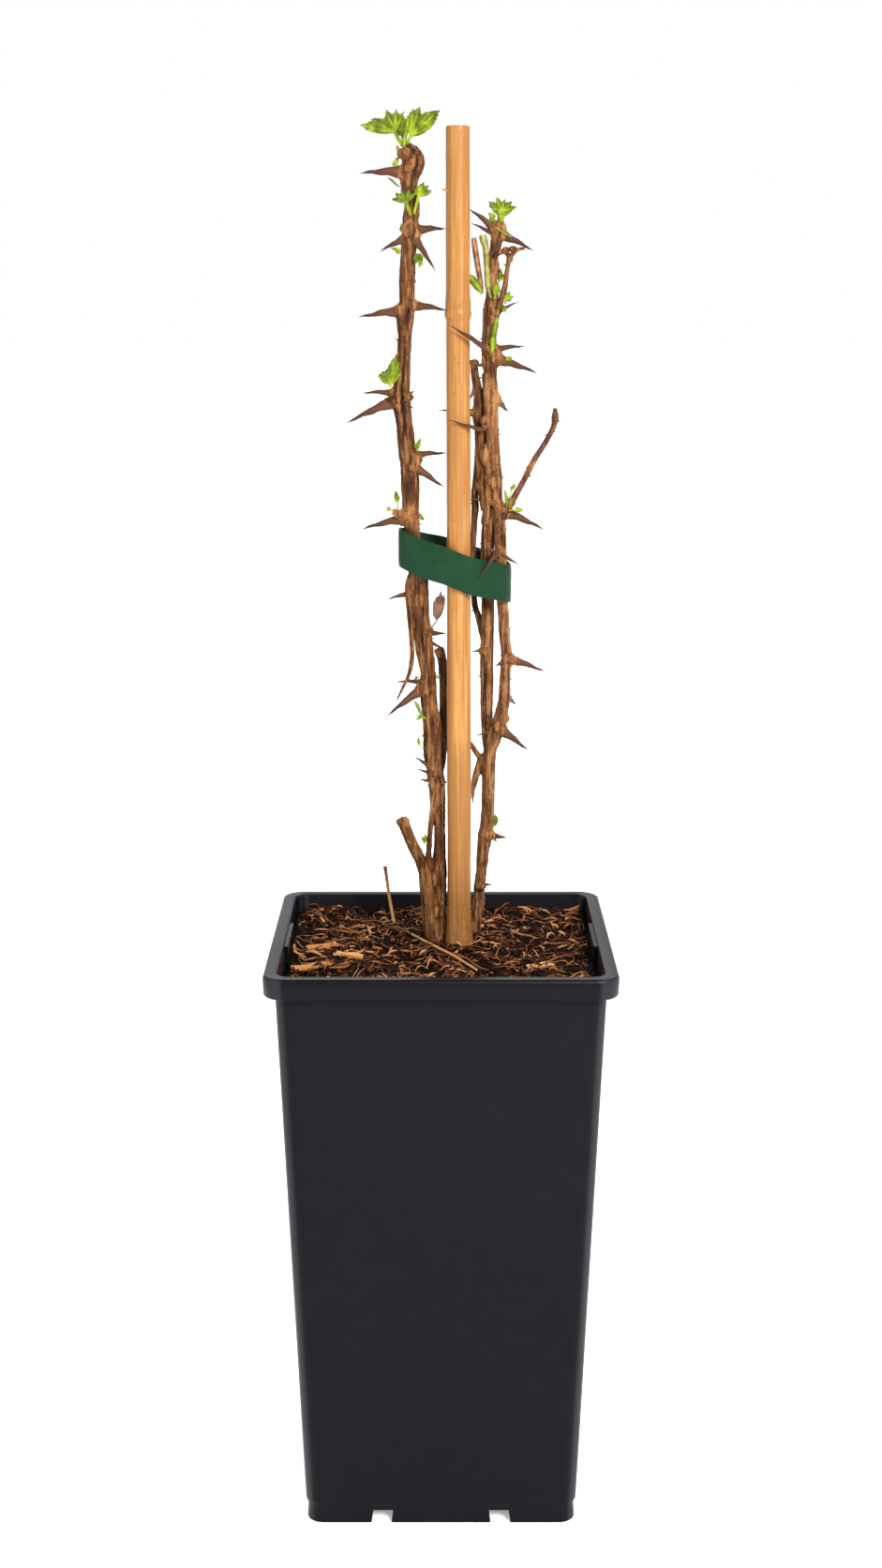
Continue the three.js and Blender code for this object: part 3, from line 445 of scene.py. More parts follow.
def stretched_bark(name, dark, mid, light, roughness=0.78):
    """Gooseberry bark, grown and weathered: long tan flakes over brown, with painted shade darkening its
    cracks, and raw at scars.
    """
    material, tree, shader, place = blank(name)
    # flakes are about 1.3 mm wide and 11 mm long
    along = add(tree, "Mapping", {"Vector": place, "Scale": (760, 760, 90)})
    flakes = add(tree, "TexNoise", {"Vector": along, "Scale": 1.0, "Detail": 5.0, "Roughness": 0.6})
    # blotches of weathering are about 11 mm across
    blotch = add(tree, "TexNoise", {"Vector": place, "Scale": 95.0, "Detail": 4.0})
    # lenticels and grit are about 0.7 mm across
    grit = add(tree, "TexNoise", {"Vector": place, "Scale": 1400.0, "Detail": 3.0, "Roughness": 0.7})
    mixed = add(tree, "Math", {0: blotch, 1: 0.4, 2: flakes}, operation="MULTIPLY_ADD")
    toned = add(tree, "Math", {0: grit, 1: 0.35, 2: mixed}, operation="MULTIPLY_ADD")
    share = add(tree, "MapRange", {"Value": toned, "From Min": 0.62, "From Max": 1.1})
    bark = add(tree, "ValToRGB", {"Fac": share}, stops=[(0.15, dark), (0.5, mid), (0.85, light)])
    scar = add(tree, "Attribute", attribute_name="scar").outputs["Fac"]
    raw = add(tree, "Math", {0: scar, 1: share}, operation="MULTIPLY")
    scarred = add(tree, "Mix", {"Factor": raw, MIX_A: bark, MIX_B: rgb("#916338")}, data_type="RGBA")
    # painted shade: the bark turns almost black down the grooves that wood() pushes in
    groove_shade = add(tree, "Attribute", attribute_name="groove_shade").outputs["Fac"]
    groove_shaded = add(
        tree, "Mix", {"Factor": groove_shade, MIX_A: scarred.outputs[MIXED], MIX_B: rgb("#120702")},
        data_type="RGBA",
    )
    relief = add(tree, "Math", {0: flakes, 1: grit}, operation="ADD")
    plug(tree, shader, {
        "Base Color": groove_shaded.outputs[MIXED], "Roughness": roughness, "Specular IOR Level": 0.12,
        "Normal": add(tree, "Bump", {"Height": relief, "Strength": 0.7, "Distance": 0.6 * MM}),
    })
    return material


def horn(name, foot, middle, tip):
    """Spine wood, grown and hardened: smooth brown, paler where it leaves the bark and dark at the point."""
    material, tree, shader, place = blank(name)
    reach = add(tree, "Attribute", attribute_name="reach").outputs["Fac"]
    # streaks along the spine are about 1.4 mm long
    streak = add(tree, "TexNoise", {"Vector": place, "Scale": 700.0, "Detail": 4.0, "Roughness": 0.6})
    shade = add(tree, "Math", {0: streak, 1: 0.34, 2: reach}, operation="MULTIPLY_ADD")
    plug(tree, shader, {
        "Base Color": add(tree, "ValToRGB", {"Fac": shade}, stops=[(0.12, foot), (0.5, middle), (1.0, tip)]),
        "Normal": add(tree, "Bump", {"Height": streak, "Strength": 0.3, "Distance": 0.3 * MM}),
        "Roughness": 0.5, "Specular IOR Level": 0.15,
    })
    return material


def leaf_flesh(name, dark, mid, light):
    """Young gooseberry leaf, grown: matt fresh green, paler along its ribs."""
    material, tree, shader, place = blank(name)
    rib = add(tree, "Attribute", attribute_name="rib").outputs["Fac"]
    # the flesh varies over about 3 mm between the small veins
    flesh = add(tree, "TexNoise", {"Vector": place, "Scale": 330.0, "Detail": 3.0, "Roughness": 0.5})
    tone = add(tree, "Math", {0: rib, 1: 0.34, 2: flesh}, operation="MULTIPLY_ADD")
    plug(tree, shader, {
        "Base Color": add(tree, "ValToRGB", {"Fac": tone}, stops=[(0.3, dark), (0.55, mid), (0.85, light)]),
        "Normal": add(tree, "Bump", {"Height": tone, "Strength": 0.2, "Distance": 0.3 * MM}),
        "Roughness": 0.48, "Specular IOR Level": 0.12,
    })
    return material


def moulded_polypropylene(name, colour):
    """Black polypropylene, injection moulded: satin with an eggshell grain, with a painted highlight down its
    four corners.
    """
    material, tree, shader, place = blank(name)
    # the mould's texture has a pitch of about 0.7 mm, drawn coarse enough to show
    grain = add(tree, "TexNoise", {"Vector": place, "Scale": 1500.0, "Detail": 3.0, "Roughness": 0.7})
    # the cooling wall shows soft waves about 60 mm long
    wave = add(tree, "TexNoise", {"Vector": place, "Scale": 17.0, "Detail": 2.0})
    # the bloom of dust gathers in patches about 8 mm across
    bloom = add(tree, "TexNoise", {"Vector": place, "Scale": 130.0, "Detail": 6.0, "Roughness": 0.7})
    dust = add(tree, "MapRange", {"Value": bloom, "From Min": 0.5, "From Max": 0.8, "To Max": 0.008})
    # the four corners carry a painted highlight over about 2 mm; the wall widens by 43 mm in a metre of height
    spot = add(tree, "SeparateXYZ", {"Vector": place})
    across = add(tree, "Math", {0: spot.outputs["X"]}, operation="ABSOLUTE")
    along = add(tree, "Math", {0: spot.outputs["Y"]}, operation="ABSOLUTE")
    least = add(tree, "Math", {0: across, 1: along}, operation="MINIMUM")
    half = add(tree, "Math", {0: spot.outputs["Z"], 1: 0.043, 2: 51.7 * MM}, operation="MULTIPLY_ADD")
    near = add(tree, "Math", {0: least, 1: half}, operation="DIVIDE")
    corner_highlight = add(
        tree, "MapRange", {"Value": near, "From Min": 0.93, "From Max": 0.964, "To Max": 0.07},
        interpolation_type="SMOOTHSTEP",
    )
    # the pale tint is real dust plus the painted corner highlight
    pale = add(tree, "Math", {0: dust, 1: corner_highlight}, operation="ADD")
    tint = add(tree, "Mix", {"Factor": pale, MIX_A: colour, MIX_B: rgb("#6f6f76")}, data_type="RGBA")
    fine = add(tree, "Bump", {"Height": grain, "Strength": 0.12, "Distance": 0.2 * MM})
    plug(tree, shader, {
        "Base Color": tint.outputs[MIXED], "IOR": 1.49, "Specular IOR Level": 0.07,
        "Roughness": add(
            tree, "MapRange",
            {"Value": wave, "From Min": 0.3, "From Max": 0.7, "To Min": 0.3, "To Max": 0.38},
        ),
        "Normal": add(tree, "Bump", {"Height": wave, "Normal": fine, "Strength": 0.12, "Distance": 2 * MM}),
    })
    return material


def dried_bamboo(name, colour, earth_line):
    """Bamboo culm, dried and handled: warm tan with silky fibre streaks and flecks, stained by the earth."""
    material, tree, shader, place = blank(name)
    # fibres are about 0.9 mm apart and 40 mm long
    along = add(tree, "Mapping", {"Vector": place, "Scale": (1100, 1100, 26)})
    fibre = add(tree, "TexNoise", {"Vector": along, "Scale": 1.0, "Detail": 4.0, "Roughness": 0.55})
    # the skin's broad tone changes over about 35 mm
    broad = add(tree, "TexNoise", {"Vector": place, "Scale": 28.0, "Detail": 3.0})
    tone = add(tree, "Math", {0: broad, 1: 0.4, 2: fibre}, operation="MULTIPLY_ADD")
    half = add(tree, "Math", {0: tone, 1: 0.714}, operation="MULTIPLY")
    skin = add(
        tree, "ValToRGB", {"Fac": half},
        stops=[(0.32, rgb("#7a4e21")), (0.5, colour), (0.68, rgb("#a3763f"))],
    )
    # flecks are about 0.5 mm wide, one every 2 mm across and 5 mm along
    flat = add(tree, "Mapping", {"Vector": place, "Scale": (520, 520, 210)})
    fleck = add(tree, "TexVoronoi", {"Vector": flat, "Scale": 1.0, "Randomness": 1.0})
    mark = add(
        tree, "MapRange",
        {"Value": fleck.outputs["Distance"], "From Min": 0.06, "From Max": 0.13,
         "To Min": 0.75, "To Max": 0.0},
    )
    rare = add(tree, "MapRange", {"Value": fleck.outputs["Color"], "From Min": 0.55, "From Max": 0.6})
    flecked = add(tree, "Math", {0: mark, 1: rare}, operation="MULTIPLY")
    brown = add(tree, "Mix", {"Factor": flecked, MIX_A: skin, MIX_B: rgb("#5a3216")}, data_type="RGBA")
    # the stain fades out 34 mm above the earth, in smears about 4 mm across
    low = add(
        tree, "MapRange",
        {"Value": add(tree, "SeparateXYZ", {"Vector": place}).outputs["Z"], "From Min": earth_line,
         "From Max": earth_line + 34 * MM, "To Min": 0.95, "To Max": 0.0},
    )
    smear = add(tree, "TexNoise", {"Vector": place, "Scale": 230.0, "Detail": 5.0, "Roughness": 0.7})
    stain = add(tree, "Math", {0: low, 1: smear}, operation="MULTIPLY")
    earthy = add(
        tree, "Mix", {"Factor": stain, MIX_A: brown.outputs[MIXED], MIX_B: rgb("#3a2415")}, data_type="RGBA",
    )
    plug(tree, shader, {
        "Base Color": earthy.outputs[MIXED], "Roughness": 0.42, "Specular IOR Level": 0.25,
        "Normal": add(tree, "Bump", {"Height": fibre, "Strength": 0.3, "Distance": 0.3 * MM}),
    })
    return material


def soft_strip(name, colour):
    """Soft green PVC, extruded as a flat strip: satin, with drawing lines and pale patches of wear and painted
    sheen.
    """
    material, tree, shader, place = blank(name)
    # the die leaves lines about 0.6 mm apart
    along = add(tree, "Mapping", {"Vector": add(tree, "UVMap", uv_map="strip"), "Scale": (60, 1600, 1)})
    lines = add(tree, "TexNoise", {"Vector": along, "Scale": 1.0, "Detail": 3.0})
    # pale patches of wear and painted sheen are about 6 mm across
    wear_and_sheen_noise = add(tree, "TexNoise", {"Vector": place, "Scale": 160.0, "Detail": 5.0, "Roughness": 0.65})
    wear_and_sheen = add(tree, "MapRange", {"Value": wear_and_sheen_noise, "From Min": 0.5, "From Max": 0.75, "To Max": 0.22})
    # the pale mix is wear plus painted sheen
    tint = add(tree, "Mix", {"Factor": wear_and_sheen, MIX_A: colour, MIX_B: rgb("#26432f")}, data_type="RGBA")
    plug(tree, shader, {
        "Base Color": tint.outputs[MIXED], "Roughness": 0.34, "Specular IOR Level": 0.08,
        "Normal": add(tree, "Bump", {"Height": lines, "Strength": 0.2, "Distance": 0.2 * MM}),
    })
    return material


def loose_compost(name, dark, light):
    """Peat and composted bark, mixed and watered: almost black crumbs with brown fibre through them."""
    material, tree, shader, place = blank(name)
    # crumbs are about 2 mm across
    crumb = add(tree, "TexNoise", {"Vector": place, "Scale": 480.0, "Detail": 8.0, "Roughness": 0.7})
    stops = [(0.42, dark), (0.6, light), (0.76, rgb("#4a2610"))]
    plug(tree, shader, {
        "Base Color": add(tree, "ValToRGB", {"Fac": crumb}, stops=stops),
        "Normal": add(tree, "Bump", {"Height": crumb, "Strength": 0.9, "Distance": 1.2 * MM}),
        "Roughness": 0.85, "Specular IOR Level": 0.04,
    })
    return material


def torn_fibre(name, stops):
    """Coir and shredded bark, torn: each strand has its own brown, from dark peat to pale straw."""
    material, tree, shader, place = blank(name)
    own = add(tree, "Attribute", attribute_name="tint").outputs["Fac"]
    # each strand varies over about 1.5 mm
    mottle = add(tree, "TexNoise", {"Vector": place, "Scale": 650.0, "Detail": 4.0})
    tone = add(tree, "Math", {0: mottle, 1: 0.35, 2: own}, operation="MULTIPLY_ADD")
    plug(tree, shader, {
        "Base Color": add(tree, "ValToRGB", {"Fac": tone}, stops=stops),
        "Normal": add(tree, "Bump", {"Height": mottle, "Strength": 0.5, "Distance": 0.4 * MM}),
        "Roughness": 0.6, "Specular IOR Level": 0.1,
    })
    return material


def plain_floor(name, colour):
    """White acrylic of a shadowless table, cast, matt and lit from beneath."""
    material, tree, shader, place = blank(name)
    # the matt side's stipple is about 4 mm across
    stipple = add(tree, "TexNoise", {"Vector": place, "Scale": 250.0, "Detail": 2.0})
    plug(tree, shader, {
        "Base Color": colour, "Emission Color": colour, "Emission Strength": 0.3, "Roughness": 0.9,
        "Normal": add(tree, "Bump", {"Height": stipple, "Strength": 0.02, "Distance": 0.5 * MM}),
    })
    return material


# ---------------------------------------------------------------- shaping


def along_rows(rows, spacing):
    """Points and radii in metres, about `spacing` apart, on a smooth line through rows in millimetres."""
    points = [Vector(row[:3]) * MM for row in rows]
    radii = [row[3] * MM for row in rows]
    ends = [2 * points[0] - points[1], *points, 2 * points[-1] - points[-2]]
    line = []
    for k in range(len(points) - 1):
        a, b, c, d = ends[k:k + 4]
        steps = max(1, round((c - b).length / spacing))
        for step in range(steps):
            t = step / steps
            spot = b + 0.5 * t * ((c - a) + t * ((2 * a - 5 * b + 4 * c - d) + t * (3 * b - a - 3 * c + d)))
            line.append((spot, radii[k] + (radii[k + 1] - radii[k]) * t * t * (3 - 2 * t)))
    line.append((points[-1], radii[-1]))
    return line


def tube(line, sides, squash=1.0):
    """A bmesh tube along points and radii, squashed front to back: a disc extruded from point to point."""
    bm = bmesh.new()
    tangents = [
        (line[min(k + 1, len(line) - 1)][0] - line[max(k - 1, 0)][0]).normalized() for k in range(len(line))
    ]
    side = tangents[0].cross(FRONT + Vector((0.01, 0, 0.02)))
    places = []
    for k, (spot, radius) in enumerate(line):
        side = (side - tangents[k] * side.dot(tangents[k])).normalized()
        across = tangents[k].cross(side)
        basis = Matrix((side * radius, across * radius * squash, tangents[k])).transposed().to_4x4()
        places.append(Matrix.Translation(spot) @ basis)
    ring = bmesh.ops.create_circle(bm, cap_ends=True, radius=1.0, segments=sides)["verts"]
    bmesh.ops.transform(bm, matrix=places[0], verts=ring)
    bmesh.ops.reverse_faces(bm, faces=bm.faces[:])
    edges = bm.edges[:]
    for before, after in zip(places, places[1:]):
        grown = bmesh.ops.extrude_edge_only(bm, edges=edges)["geom"]
        ring = [part for part in grown if isinstance(part, bmesh.types.BMVert)]
        edges = [part for part in grown if isinstance(part, bmesh.types.BMEdge)]
        bmesh.ops.transform(bm, matrix=after @ before.inverted(), verts=ring)
    bmesh.ops.edgeloop_fill(bm, edges=edges)
    bmesh.ops.recalc_face_normals(bm, faces=bm.faces[:])
    return bm


def join(into, part, material=0, **marks):
    """Add a bmesh to another one, with a material index and a value for each named point attribute."""
    for name, value in marks.items():
        layer = part.verts.layers.float.get(name) or part.verts.layers.float.new(name)
        for k, vert in enumerate(part.verts):
            vert[layer] = value(vert, k) if callable(value) else value
    for face in part.faces:
        face.material_index = material
    scratch = bpy.data.meshes.new("part")
    part.to_mesh(scratch)
    part.free()
    into.from_mesh(scratch)
    bpy.data.meshes.remove(scratch)


def fused(bm, voxel):
    """One skin over everything in a bmesh, with soft fillets where its parts meet."""
    scratch = bpy.data.meshes.new("fusing")
    bm.to_mesh(scratch)
    bm.free()
    holder = bpy.data.objects.new("fusing", scratch)
    bpy.context.collection.objects.link(holder)
    skin = holder.modifiers.new("Fuse", "REMESH")
    skin.mode = "VOXEL"
    skin.voxel_size = voxel
    result = bpy.data.meshes.new_from_object(holder.evaluated_get(bpy.context.evaluated_depsgraph_get()))
    made = bmesh.new()
    made.from_mesh(result)
    bpy.data.objects.remove(holder)
    for mesh in (scratch, result):
        bpy.data.meshes.remove(mesh)
    for _ in range(3):
        bmesh.ops.smooth_vert(
            made, verts=made.verts[:], factor=0.5, use_axis_x=True, use_axis_y=True, use_axis_z=True,
        )
    return made


def show(name, bm, materials, replaced=(), sharp=None):
    """Make a bmesh a visible piece that rides on the pot and stands for its CAD nodes."""
    mesh = bpy.data.meshes.new(name)
    bm.to_mesh(mesh)
    bm.free()
    mesh.shade_smooth()
    if sharp is not None:
        mesh.set_sharp_from_angle(angle=math.radians(sharp))
    for material in materials:
        mesh.materials.append(material)
    piece = bpy.data.objects.new(name, mesh)
    bpy.context.collection.objects.link(piece)
    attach(piece, "root")
    if replaced:
        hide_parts(*replaced)
    return piece


# ---------------------------------------------------------------- canes


def stem_rows(name):
    return [STEMS[name], *SIDE_STEMS.get(name, [])]


def stem_middle(name, height):
    """The middle and radius of a stem at a height, in millimetres."""
    rows = STEMS[name]
    for low, high in zip(rows, rows[1:]):
        if high[2] >= height:
            break
    share = (height - low[2]) / (high[2] - low[2])
    return [a + (b - a) * share for a, b in zip(low, high)]


def spine_rows(name, spine):
    """A spine's rows: it springs from the middle of its stem, sags a little and ends in a point."""
    height, dx, dy, dz, foot = spine
    x, y, z, _ = stem_middle(name, height)
    sag = 0.02 * math.hypot(dx, dy, dz)
    shape = ((0, 1.5, 0), (0.22, 1.3, 0.5), (0.5, 0.8, 1), (0.78, 0.38, 0.7), (1, 0.05, 0))
    return [(x + s * dx, y + s * dy, z + s * dz + sag * up, foot * r) for s, r, up in shape]


def wood(name, voxel, depth, seed):
    """A stem's skin: stems, knots and the collars of spines fused under one bark, grooved along the grain, its
    grooves marked for the bark's painted shade.
    """
    shrinkage = 0.2 * MM  # what fusing takes off a stem's radius
    rough = bmesh.new()
    axis = []
    for rows in stem_rows(name):
        line = [(spot, radius + shrinkage) for spot, radius in along_rows(rows, 1.2 * MM)]
        axis += line
        join(rough, tube(line, 20))
    for x, y, z, radius, tall in KNOTS.get(name, []):
        knot = bmesh.new()
        bmesh.ops.create_icosphere(knot, subdivisions=3, radius=radius * MM)
        bmesh.ops.scale(knot, vec=(1, 1, tall), verts=knot.verts)
        for vert in knot.verts:
            vert.co += vert.normal * 0.35 * MM * noise.noise(vert.co * 900 + Vector((seed, x, z)))
        bmesh.ops.translate(knot, vec=Vector((x, y, z)) * MM, verts=knot.verts)
        join(rough, knot)
    collars = [spine_rows(name, spine) for spine in SPINES.get(name, [])] + BENT_SPINES.get(name, [])
    for rows in collars:
        line = along_rows(rows, 0.7 * MM)
        keep = max(4, round(len(line) * 0.3))
        collar = [(spot, radius * (1.35 - 0.3 * k / keep)) for k, (spot, radius) in enumerate(line[:keep])]
        join(rough, tube(collar, 12))
    made = fused(rough, voxel)
    sores = [Vector(knot[:3]) * MM for knot in KNOTS.get(name, [])] + [
        along_rows(rows, 0.7 * MM)[3][0] for rows in collars
    ]
    wounds = kdtree.KDTree(len(sores))
    for k, spot in enumerate(sores):
        wounds.insert(spot, k)
    wounds.balance()

    tree = kdtree.KDTree(len(axis))
    for k, (spot, _) in enumerate(axis):
        tree.insert(spot, k)
    tree.balance()
    groove_shade, scar = (made.verts.layers.float.new(mark) for mark in ("groove_shade", "scar"))
    made.normal_update()
    moves = []
    for vert in made.verts:
        spot, k, away = tree.find(vert.co)
        out = vert.co - spot
        around = math.atan2(out.y, out.x)
        up = vert.co.z / MM
        radius = axis[k][1]
        ridges = 0.0
        for flute in range(5):
            centre = seed + flute * 1.2566 + 0.6 * noise.noise(Vector((up * 0.022, flute * 7.3, seed)))
            gap = math.remainder(around - centre, math.tau)
            strength = max(0.0, noise.noise(Vector((up * 0.03, flute * 3.1, seed + 5))) + 0.45)
            ridges += strength * math.exp(-((gap / 0.2) ** 2))
        grain = noise.noise(Vector((vert.co.x * 800, vert.co.y * 800, vert.co.z * 95 + seed)))
        fine = noise.noise(Vector((vert.co.x * 1700, vert.co.y * 1700, vert.co.z * 420 + seed)))
        share = min(1.0, max(0.0, 2.2 - away / radius)) if radius else 0.0
        push = (-ridges * 0.85 + grain * 0.75) * share + fine * 0.4
        # the grooves are marked here for the painted shade in the bark's colour
        vert[groove_shade] = min(1.0, max(0.0, ridges * 0.95 * share - grain * 0.5 - fine * 0.25))
        if sores:
            sore = wounds.find(vert.co)[2] / MM
            vert[scar] = max(0.0, min(1.0, 1.5 - sore / 2.2 + grain))
            push += vert[scar] * noise.noise(vert.co * 1100) * 1.3
        moves.append(vert.normal * push * depth * min(1.0, radius / (2.4 * MM)))
    for vert, move in zip(made.verts, moves):
        vert.co += move
    return made


def add_spines(bm, name, seed):
    """The spines themselves, in their own harder wood."""
    draw = Random(seed)
    rows_of = [spine_rows(name, spine) for spine in SPINES.get(name, [])] + BENT_SPINES.get(name, [])
    for rows in rows_of:
        line = along_rows(rows, 0.8 * MM)
        last = len(line) - 1
        wavy = []
        for k, (spot, radius) in enumerate(line):
            wobble = 0.12 * MM * math.sin(k * 0.7 + draw.random())
            wavy.append((spot + UP * wobble, radius * (1 + 0.06 * draw.random())))
        wavy[-1] = (line[-1][0], 0.06 * MM)
        join(bm, tube(wavy, 10, squash=0.9), 1, reach=lambda vert, k: min(1.0, (k // 10) / last))


def add_prickles(bm, name, count, seed):
    """Small bristles and bud scales, scattered over the bark."""
    draw = Random(seed)
    line = along_rows(STEMS[name], 1.0 * MM)
    for _ in range(count):
        spot, radius = line[draw.randrange(len(line) // 8, len(line) - 2)]
        turn = draw.uniform(0, math.tau)
        out = Vector((math.cos(turn), math.sin(turn), draw.uniform(-0.5, 0.7)))
        length = draw.uniform(0.5, 1.3) * MM
        foot = spot + out * (radius * 0.85)
        bristle = [
            (foot, 0.35 * MM), (foot + out * length * 0.7, 0.2 * MM), (foot + out * length * 1.3, 0.05 * MM),
        ]
        join(bm, tube(bristle, 5), 1, reach=0.35)


# ---------------------------------------------------------------- leaves


def fan(base, lobes, lean, cup, draw):
    """A toothed, pleated blade: a grid bent into a fan of pointed lobes, with a rib down each."""
    ribs = [(math.radians(angle), length) for angle, length in lobes]
    longest = max(length for _, length in ribs)
    first, last = ribs[0][0] - 0.3, ribs[-1][0] + 0.3
    columns = max(20, round((last - first) * longest / 0.34))
    bm = bmesh.new()
    bmesh.ops.create_grid(bm, x_segments=columns, y_segments=max(5, round(longest)), size=1.0)
    rib = bm.verts.layers.float.new("rib")
    start = draw.uniform(0, 5)
    for vert in bm.verts:
        share, out = (vert.co.x + 1) / 2, (vert.co.y + 1) / 2
        angle = first + (last - first) * share
        gap = min(abs(angle - centre) for centre, _ in ribs)
        reach = max(
            length * (1 - 0.5 * min(1.0, abs(angle - centre) / 0.42) ** 0.8) for centre, length in ribs
        )
        reach *= min(1.0, 0.45 + 0.55 * min(angle - first, last - angle) / 0.3)
        tooth = abs(math.remainder(angle * reach / 1.6 + start, 1.0)) * 2
        reach *= 1 + 0.09 * (tooth - 0.5) * out ** 6
        radius = reach * (0.05 + 0.95 * out)
        between = min(gap * radius, 1.3)
        forward = math.tan(math.radians(lean)) * radius - cup * radius * radius / longest
        forward += 0.5 * between + 0.16 * math.sin(radius * 1.7 + angle * 5 + start) * out
        vert[rib] = math.exp(-((gap * radius / 0.3) ** 2)) * (1 - 0.5 * out)
        flat = Vector((math.cos(angle) * radius, -forward, math.sin(angle) * radius))
        vert.co = (Vector(base) + flat) * MM
    return bm


def leaf(row, seed):
    """A leaf: the fan-shaped blade with a thickness of its own, on a stalk that runs on into its ribs."""
    foot, base, stalk, lean, cup, lobes = row
    made = bmesh.new()
    blade = fan(base, lobes, lean, cup, Random(seed))
    bmesh.ops.solidify(blade, geom=blade.faces[:], thickness=0.2 * MM)
    bmesh.ops.recalc_face_normals(blade, faces=blade.faces[:])
    join(made, blade)
    foot, base = Vector(foot), Vector(base)
    for angle, length in lobes:
        turn = math.radians(angle)
        forward = math.tan(math.radians(lean)) * length * 0.35
        inside = base + Vector((math.cos(turn) * length * 0.35, -forward, math.sin(turn) * length * 0.35))
        rows = [
            (*foot, stalk * 0.62), (*foot.lerp(base, 0.5), stalk * 0.6),
            (*base, stalk * 0.55), (*inside, 0.12),
        ]
        spread = Vector((math.cos(turn), 0, 0)) * stalk * 0.45
        rows[1] = (*(Vector(rows[1][:3]) + spread * 0.6), rows[1][3])
        rows[2] = (*(Vector(rows[2][:3]) + spread), rows[2][3])
        join(made, tube(along_rows(rows, 0.7 * MM), 8, squash=0.7), rib=0.6)
    return made


def strap(rows):
    """A strap-shaped leaf or scale: narrow, thin and keeled along its middle."""
    line = along_rows(rows, 0.6 * MM)
    blade = tube(line, 16, squash=0.24)
    rib = blade.verts.layers.float.new("rib")
    for k, vert in enumerate(blade.verts):
        spot, radius = line[min(k // 16, len(line) - 1)]
        across = (vert.co - spot).length / max(radius, 1e-6)
        vert[rib] = max(0.0, 1 - across * 1.3)
        vert.co.y += 0.35 * abs(vert.co.x - spot.x) + 0.06 * MM * math.sin(vert.co.z * 1900)
    return blade


# ---------------------------------------------------------------- settings


class PotSettings(bpy.types.PropertyGroup):
    wall: FloatProperty(
        name="Wall", description="Thickness of the pot's wall", default=1.3 * MM, min=0.5 * MM, unit="LENGTH",
    )
    colour: FloatVectorProperty(
        name="Colour", description="Colour of the moulded plastic", default=rgb("#08080d")[:3],
        size=3, min=0, max=1, subtype="COLOR",
    )


class StakeSettings(bpy.types.PropertyGroup):
    bore: FloatProperty(
        name="Bore", description="Radius of the hollow in the bamboo", default=1.7 * MM, min=0, unit="LENGTH",
    )
    colour: FloatVectorProperty(
        name="Colour", description="Colour of the bamboo's skin", default=rgb("#865826")[:3],
        size=3, min=0, max=1, subtype="COLOR",
    )


class TieSettings(bpy.types.PropertyGroup):
    thickness: FloatProperty(
        name="Thickness", description="Thickness of the strip", default=0.7 * MM, min=0.2 * MM, unit="LENGTH",
    )
    colour: FloatVectorProperty(
        name="Colour", description="Colour of the strip", default=rgb("#0f2a19")[:3],
        size=3, min=0, max=1, subtype="COLOR",
    )


class CaneSettings(bpy.types.PropertyGroup):
    depth: FloatProperty(
        name="Bark depth", description="How deep the bark's cracks run", default=0.52 * MM,
        min=0, unit="LENGTH",
    )
    colour: FloatVectorProperty(
        name="Bark", description="Middle colour of the bark", default=rgb("#4f2e15")[:3],
        size=3, min=0, max=1, subtype="COLOR",
    )
    spine: FloatVectorProperty(
        name="Spines", description="Middle colour of the spines", default=rgb("#492b16")[:3],
        size=3, min=0, max=1, subtype="COLOR",
    )


class LeafSettings(bpy.types.PropertyGroup):
    colour: FloatVectorProperty(
        name="Leaf", description="Middle colour of a young leaf", default=rgb("#4b5805")[:3],
        size=3, min=0, max=1, subtype="COLOR",
    )


class CompostSettings(bpy.types.PropertyGroup):
    strands: IntProperty(
        name="Strands", description="Number of loose fibres on the compost", default=2000, min=0, max=4000,
    )
    colour: FloatVectorProperty(
        name="Compost", description="Colour of the moist crumbs", default=rgb("#060302")[:3],
        size=3, min=0, max=1, subtype="COLOR",
    )


class StageSettings(bpy.types.PropertyGroup):
    floor: FloatVectorProperty(
        name="Floor", description="Colour of the floor", default=rgb("#ffffff")[:3],
        size=3, min=0, max=1, subtype="COLOR",
    )
    key: FloatProperty(
        name="Key light", description="Power of the large soft light", default=60.0, min=0, unit="POWER",
    )


# ---------------------------------------------------------------- operators


def rounded_square(bm, half, radius, segments=7):
    """A square ring with round corners in the plane z = 0, as a loop of edges round one face."""
    bmesh.ops.create_grid(bm, x_segments=1, y_segments=1, size=half)
    bmesh.ops.bevel(
        bm, geom=bm.verts[:], offset=radius, offset_type="OFFSET", segments=segments, profile=0.5,
        affect="VERTICES", material=-1,
    )


